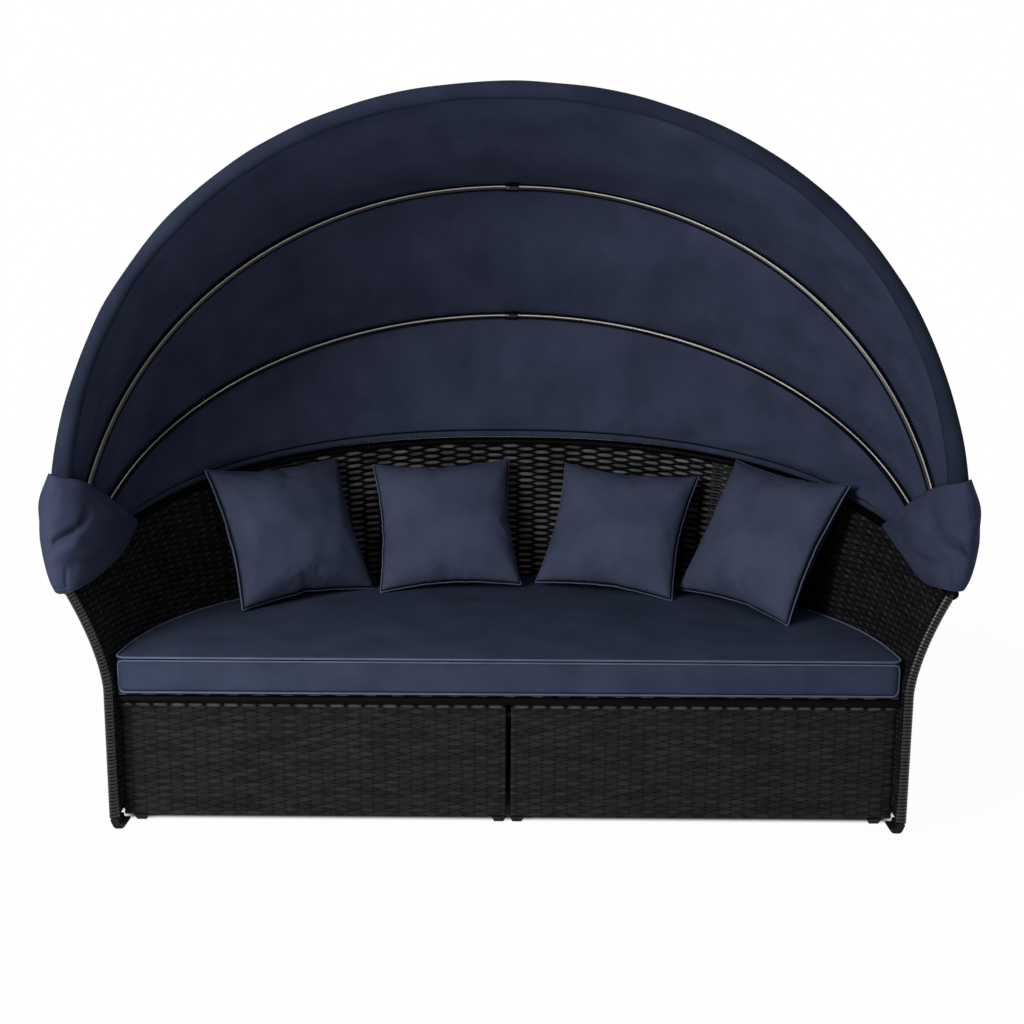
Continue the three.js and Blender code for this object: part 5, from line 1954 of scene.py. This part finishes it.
@dataclass
class ThrowPillow:
    """A knife-edged throw pillow with piping, leaning on the wall.

    Turn, lean and roll are in degrees, shares are its own parts of the width and height, and
    loose is how much of the blown-up shape it takes along x, y and z.
    """

    finishes: Finishes
    index: int
    across_share: float
    wall_gap: float
    rise: float
    turn: float
    lean: float
    roll: float
    shares: tuple[float, float]
    width: float = 350
    height: float = 335
    thickness: float = 122
    seam: float = 5
    pinch: float = 0.045
    fullness: float = 0.42
    cells: int = 70
    piping: float = 2.1
    start: float = 0.45
    loose: tuple[float, float, float] = (0.3, 0.6, 0.3)
    seat_half_width: float = 793
    seat_top: float = 358.3
    wall_depth: float = 740

    def stand(self, points: Array) -> Array:
        """Turns points of the pillow's own face to where it leans.

        The order is roll about y, lean about x, then turn about z, and the middle is a share of
        the seat's half width across, with a gap to the wall there.
        """
        roll, lean, turn = (math.radians(a) for a in (self.roll, -self.lean, self.turn))
        about_y = np.array(
            [[math.cos(roll), 0, math.sin(roll)], [0, 1, 0], [-math.sin(roll), 0, math.cos(roll)]]
        )
        about_x = np.array(
            [[1, 0, 0], [0, math.cos(lean), -math.sin(lean)], [0, math.sin(lean), math.cos(lean)]]
        )
        about_z = np.array(
            [[math.cos(turn), -math.sin(turn), 0], [math.sin(turn), math.cos(turn), 0], [0, 0, 1]]
        )
        across = self.across_share * self.seat_half_width
        curve = (1 - abs(self.across_share) ** SHELL.exponent) ** (1 / SHELL.exponent)
        back = self.wall_depth * curve - self.wall_gap
        middle = np.array([across, back, self.seat_top + self.rise])
        return points @ (about_z @ about_x @ about_y).T + middle

    def outline(self, across: Array, up: Array) -> tuple[Array, Array]:
        """Returns x and z of the pillow's face: its sides draw in between the corners."""
        x = self.shares[0] * self.width / 2 * across * (1 - self.pinch * (1 - up**2))
        z = self.shares[1] * self.height / 2 * up * (1 - self.pinch * (1 - across**2))
        return x, z

    def faces(self) -> Array:
        """The pillow's two faces in its own axes: columns by both faces' rows by 3.

        The smooth shape has a half thickness of seam + (full - seam) ((1 - a^2)(1 - u^2))^fullness
        with soft unevenness. It is made thin, blown up as cloth, and brought back to the
        pillow's width, height and thickness, and the result is a mix of it and the smooth shape.
        """
        spread = np.linspace(-1, 1, self.cells + 1)
        across, up = np.meshgrid(spread, spread, indexing="ij")
        full = ((1 - across**2) * (1 - up**2)) ** self.fullness
        x, z = self.outline(across, up)
        both = []
        for sign, seed in ((-1, self.index), (1, self.index + 20)):
            wave = ripple(x / 100, z / 100, 0.7, seed)
            corner = np.abs(across * up) ** 1.5
            crease = np.sin(7 * np.arctan2(np.abs(x), np.abs(z)) + seed) * corner
            bulge = (self.thickness - self.seam) * full + self.seam
            y = sign * (bulge / 2 + full * 2 * wave + full**0.5 * 3.5 * crease)
            both.append(beside(x, y, z))
        rings = np.concatenate([both[0], both[1][:, ::-1]], 1)
        blown = inflated(rings * np.array([1, self.start, 1]))
        low, high = blown.min((0, 1)), blown.max((0, 1))
        size = rings.max((0, 1)) - rings.min((0, 1))
        blown = (blown - (low + high) / 2) * (size / (high - low))
        return rings + (blown - rings) * np.array(self.loose)

    def build(self) -> None:
        """Makes and dresses the pillow and its piping."""
        own = self.faces()
        rings = self.stand(own)
        count = self.cells + 1
        spread = np.linspace(-1, 1, count)
        across, up = np.meshgrid(spread, spread, indexing="ij")
        near = np.minimum((1 - np.abs(across)) * self.width, (1 - np.abs(up)) * self.height) / 2
        seam = np.concatenate([near, near[:, ::-1]], 1) + 1
        flat = own[..., [0, 2]] * MM
        uv = np.concatenate([flat, flat[:, :1]], 1)
        body = f"throw_pillow_{self.index}"
        pillow = surface(f"pillow_cover_{self.index}", rings, Ends.STRIP, uv, ("Seam", seam))
        settle(pillow, self.finishes.pillow, body, (f"pillow_{self.index}",))
        edge = (own[:, :count] + own[:, : count - 1 : -1]) / 2
        path = np.concatenate([edge[:-1, 0], edge[-1, :-1], edge[:0:-1, -1], edge[0, :0:-1]])
        side_rings, ends, side_uv = piping_tube(path, self.piping)
        piping = surface(f"pillow_piping_{self.index}", self.stand(side_rings), ends, side_uv)
        settle(piping, self.finishes.piping, body)


# Each pillow's across_share, wall_gap, rise, turn, lean, roll and shares.
PILLOWS = (
    (-0.6444, 76.8, 155.6, 41.3, 28, 1, (1.02, 1)),
    (-0.1955, 78.4, 149, 6.4, 32.4, -2, (0.96, 0.98)),
    (0.3241, 89.4, 143.8, -20.3, 34.3, 2.4, (0.97, 0.955)),
    (0.7251, 99.1, 158.1, -52.5, 30.3, 2, (1, 1.02)),
)


# ---------------------------------------------------------------- frame, studio and camera


def dress_frame(finishes: Finishes) -> None:
    """Gives each solid that still shows its finish, by what it is made of."""
    for name, node in frame["nodes"].items():
        if node.hide_render:
            continue
        if name.startswith(("pivot_bolt", "pivot_nut")):
            material = finishes.zinc
        elif "foot" in name:
            material = finishes.foot
        else:
            material = finishes.frame
        node.data.materials.clear()
        node.data.materials.append(material)
        log.info("%s keeps its solid, in %s", name, material.name)


@dataclass
class Studio:
    """A pale floor, a white background, soft light from the front left and the camera.

    The floor's shaded part is an ellipse of shade_width and shade_depth, in metres, round the
    front feet's middle. It widens by shade_spread for each metre back and starts shade_front
    behind the feet, where the ottomans hide it.
    """

    floor_colour: str = "#f2f2f2"
    floor_half: float = 14
    far_from: float = 3.0
    own_white: float = 0.97
    world: float = 0.16
    shade_width: float = 0.8
    shade_depth: float = 1.1
    shade_spread: float = 0.367
    shade_front: tuple[float, float] = (0.05, 0.075)
    lens: float = 50
    sensor: float = 36
    eye: tuple[float, float, float] = (0.0045, -3.12016, 1.1837)
    looks_down: float = 10.8
    rolls: float = 0.37

    def floor(self) -> None:
        """Makes the floor: pale, white to the camera, with the object's soft shadow under it.

        To the camera and to reflections it is part white light of its own, all of it from
        far_from outwards, so that no horizon shows, and none of it under the object.
        """
        mesh = bpy.data.meshes.new("studio_floor")
        half = self.floor_half
        corners = [(-half, -half, 0), (half, -half, 0), (half, half, 0), (-half, half, 0)]
        mesh.from_pydata(corners, [], [(0, 1, 2, 3)])
        material, tree = new_material("studio_floor")
        pale = add_node(
            tree, "BsdfPrincipled",
            {"Base Color": linear(self.floor_colour), "Roughness": 0.9, "Specular IOR Level": 0.0},
        )
        white = add_node(tree, "Emission", {"Color": (1, 1, 1, 1), "Strength": 1.0})
        place = add_node(tree, "TexCoord")
        away = add_node(tree, "VectorMath", links={0: place.outputs["Object"]}, operation="LENGTH")
        far = {"From Min": self.far_from / 2, "From Max": self.far_from, "To Min": self.own_white}
        share = add_node(
            tree, "MapRange", far, {"Value": away.outputs["Value"]},
            interpolation_type="SMOOTHSTEP",
        )
        clear = self.clear_of_object(tree, place.outputs["Object"])
        open_share = add_node(tree, "Math", links={0: share, 1: clear}, operation="MULTIPLY")
        seen = add_node(
            tree, "Math", links={0: open_share, 1: self.seen(tree)}, operation="MULTIPLY",
        )
        mixed = add_node(tree, "MixShader", links={0: seen, 1: pale, 2: white})
        add_node(tree, "OutputMaterial", links={"Surface": mixed})
        mesh.materials.append(material)
        floor = placed("studio_floor", mesh)

    def clear_of_object(self, tree: Tree, place: bpy.types.NodeSocket) -> Node:
        """Adds 0 in the floor's shaded part and 1 round it.

        Args:
            tree: the floor's node tree.
            place: the floor's own coordinates.

        Returns:
            The node whose first output is the share.
        """
        parts = add_node(tree, "SeparateXYZ", links={0: place})
        widening = add_node(
            tree, "Math", {1: self.shade_spread, 2: 1 - self.shade_spread * SHIFT},
            {0: parts.outputs["Y"]}, operation="MULTIPLY_ADD",
        )
        across = add_node(tree, "Math", links={0: parts, 1: widening}, operation="DIVIDE")
        flat = add_node(tree, "CombineXYZ", links={"X": across, "Y": parts.outputs["Y"]})
        scale = (1 / self.shade_width, 1 / self.shade_depth, 0)
        shares = add_node(
            tree, "Mapping", {"Location": (0, -SHIFT / self.shade_depth, 0), "Scale": scale},
            {"Vector": flat},
        )
        out = add_node(tree, "VectorMath", links={0: shares}, operation="LENGTH")
        outside = add_node(
            tree, "MapRange", {"From Min": 0.95}, {"Value": out.outputs["Value"]},
            interpolation_type="SMOOTHSTEP",
        )
        near, far = self.shade_front
        ahead = add_node(
            tree, "MapRange", {"From Min": SHIFT + far, "From Max": SHIFT + near},
            {"Value": parts.outputs["Y"]}, interpolation_type="SMOOTHSTEP",
        )
        return add_node(tree, "Math", links={0: outside, 1: ahead}, operation="MAXIMUM")

    @staticmethod
    def seen(tree: Tree) -> Node:
        """Adds the share of a ray that is the camera's, a reflection or seen through glass."""
        path = add_node(tree, "LightPath")
        share = path.outputs["Is Camera Ray"]
        for kind in ("Is Glossy Ray", "Is Transmission Ray"):
            links = {0: share, 1: path.outputs[kind]}
            share = add_node(tree, "Math", links=links, operation="MAXIMUM")
        return share

    def light(self) -> None:
        """Makes the world and three large soft lamps: place, aim, size in metres and watts."""
        world = bpy.data.worlds.new("studio_world")
        bpy.context.scene.world = world
        world.use_nodes = True
        tree = world.node_tree
        tree.nodes.clear()
        strength = add_node(tree, "MapRange", {"To Min": self.world}, {"Value": self.seen(tree)})
        back = add_node(tree, "Background", {"Color": (1, 1, 1, 1)}, {"Strength": strength})
        add_node(tree, "OutputWorld", links={"Surface": back})
        for name, place, aim, size, power in (
            ("key_lamp", (-1.85, -2.4, 1.55), (0.1, 0, 0.6), 1.2, 72),
            ("fill_lamp", (2.6, -3.2, 1.6), (0, 0, 0.6), 2.4, 5),
            ("top_lamp", (0.0, -0.9, 4.0), (0, 0, 0.6), 3.0, 40),
        ):
            lamp = bpy.data.lights.new(name, "AREA")
            lamp.shape, lamp.size, lamp.energy = "SQUARE", size, power
            holder = placed(name, lamp)
            holder.location = place
            holder.visible_camera = False
            away = holder.location - type(holder.location)(aim)
            holder.rotation_euler = away.to_track_quat("Z", "Y").to_euler()

    def camera(self) -> None:
        """Makes the camera, which looks a little down and rolls a little to the photograph's."""
        data = bpy.data.cameras.new("studio_camera")
        data.lens, data.sensor_width = self.lens, self.sensor
        camera = placed("studio_camera", data)
        camera.location = self.eye
        camera.rotation_mode = "ZXY"
        down, roll = math.radians(90 - self.looks_down), math.radians(self.rolls)
        camera.rotation_euler = (down, 0, roll)
        bpy.context.scene.camera = camera

    def build(self) -> None:
        """Makes the camera, the floor and the lamps."""
        self.camera()
        self.floor()
        self.light()
        bpy.context.scene.view_settings.view_transform = "Standard"


def main() -> None:
    """Builds the daybed's looks, piece by piece."""
    logging.basicConfig(level=logging.INFO, format="%(message)s")
    Studio().build()
    finishes = Finishes()
    WickerShell(finishes).build()
    SeatDeck(finishes).build()
    SeatCushion(finishes).build()
    for side in (1, -1):
        Ottoman(finishes, side).build()
    bows = {"lower_bow": LOWER_BOW, "upper_bow": UPPER_BOW, "front_hoop": FRONT_HOOP}
    for name, bow in bows.items():
        BowTubes(finishes, bow, name).build()
    Canopy(finishes).build()
    for index, values in enumerate(PILLOWS):
        ThrowPillow(finishes, index + 1, *values).build()
    dress_frame(finishes)


if __name__ == "__main__":
    main()
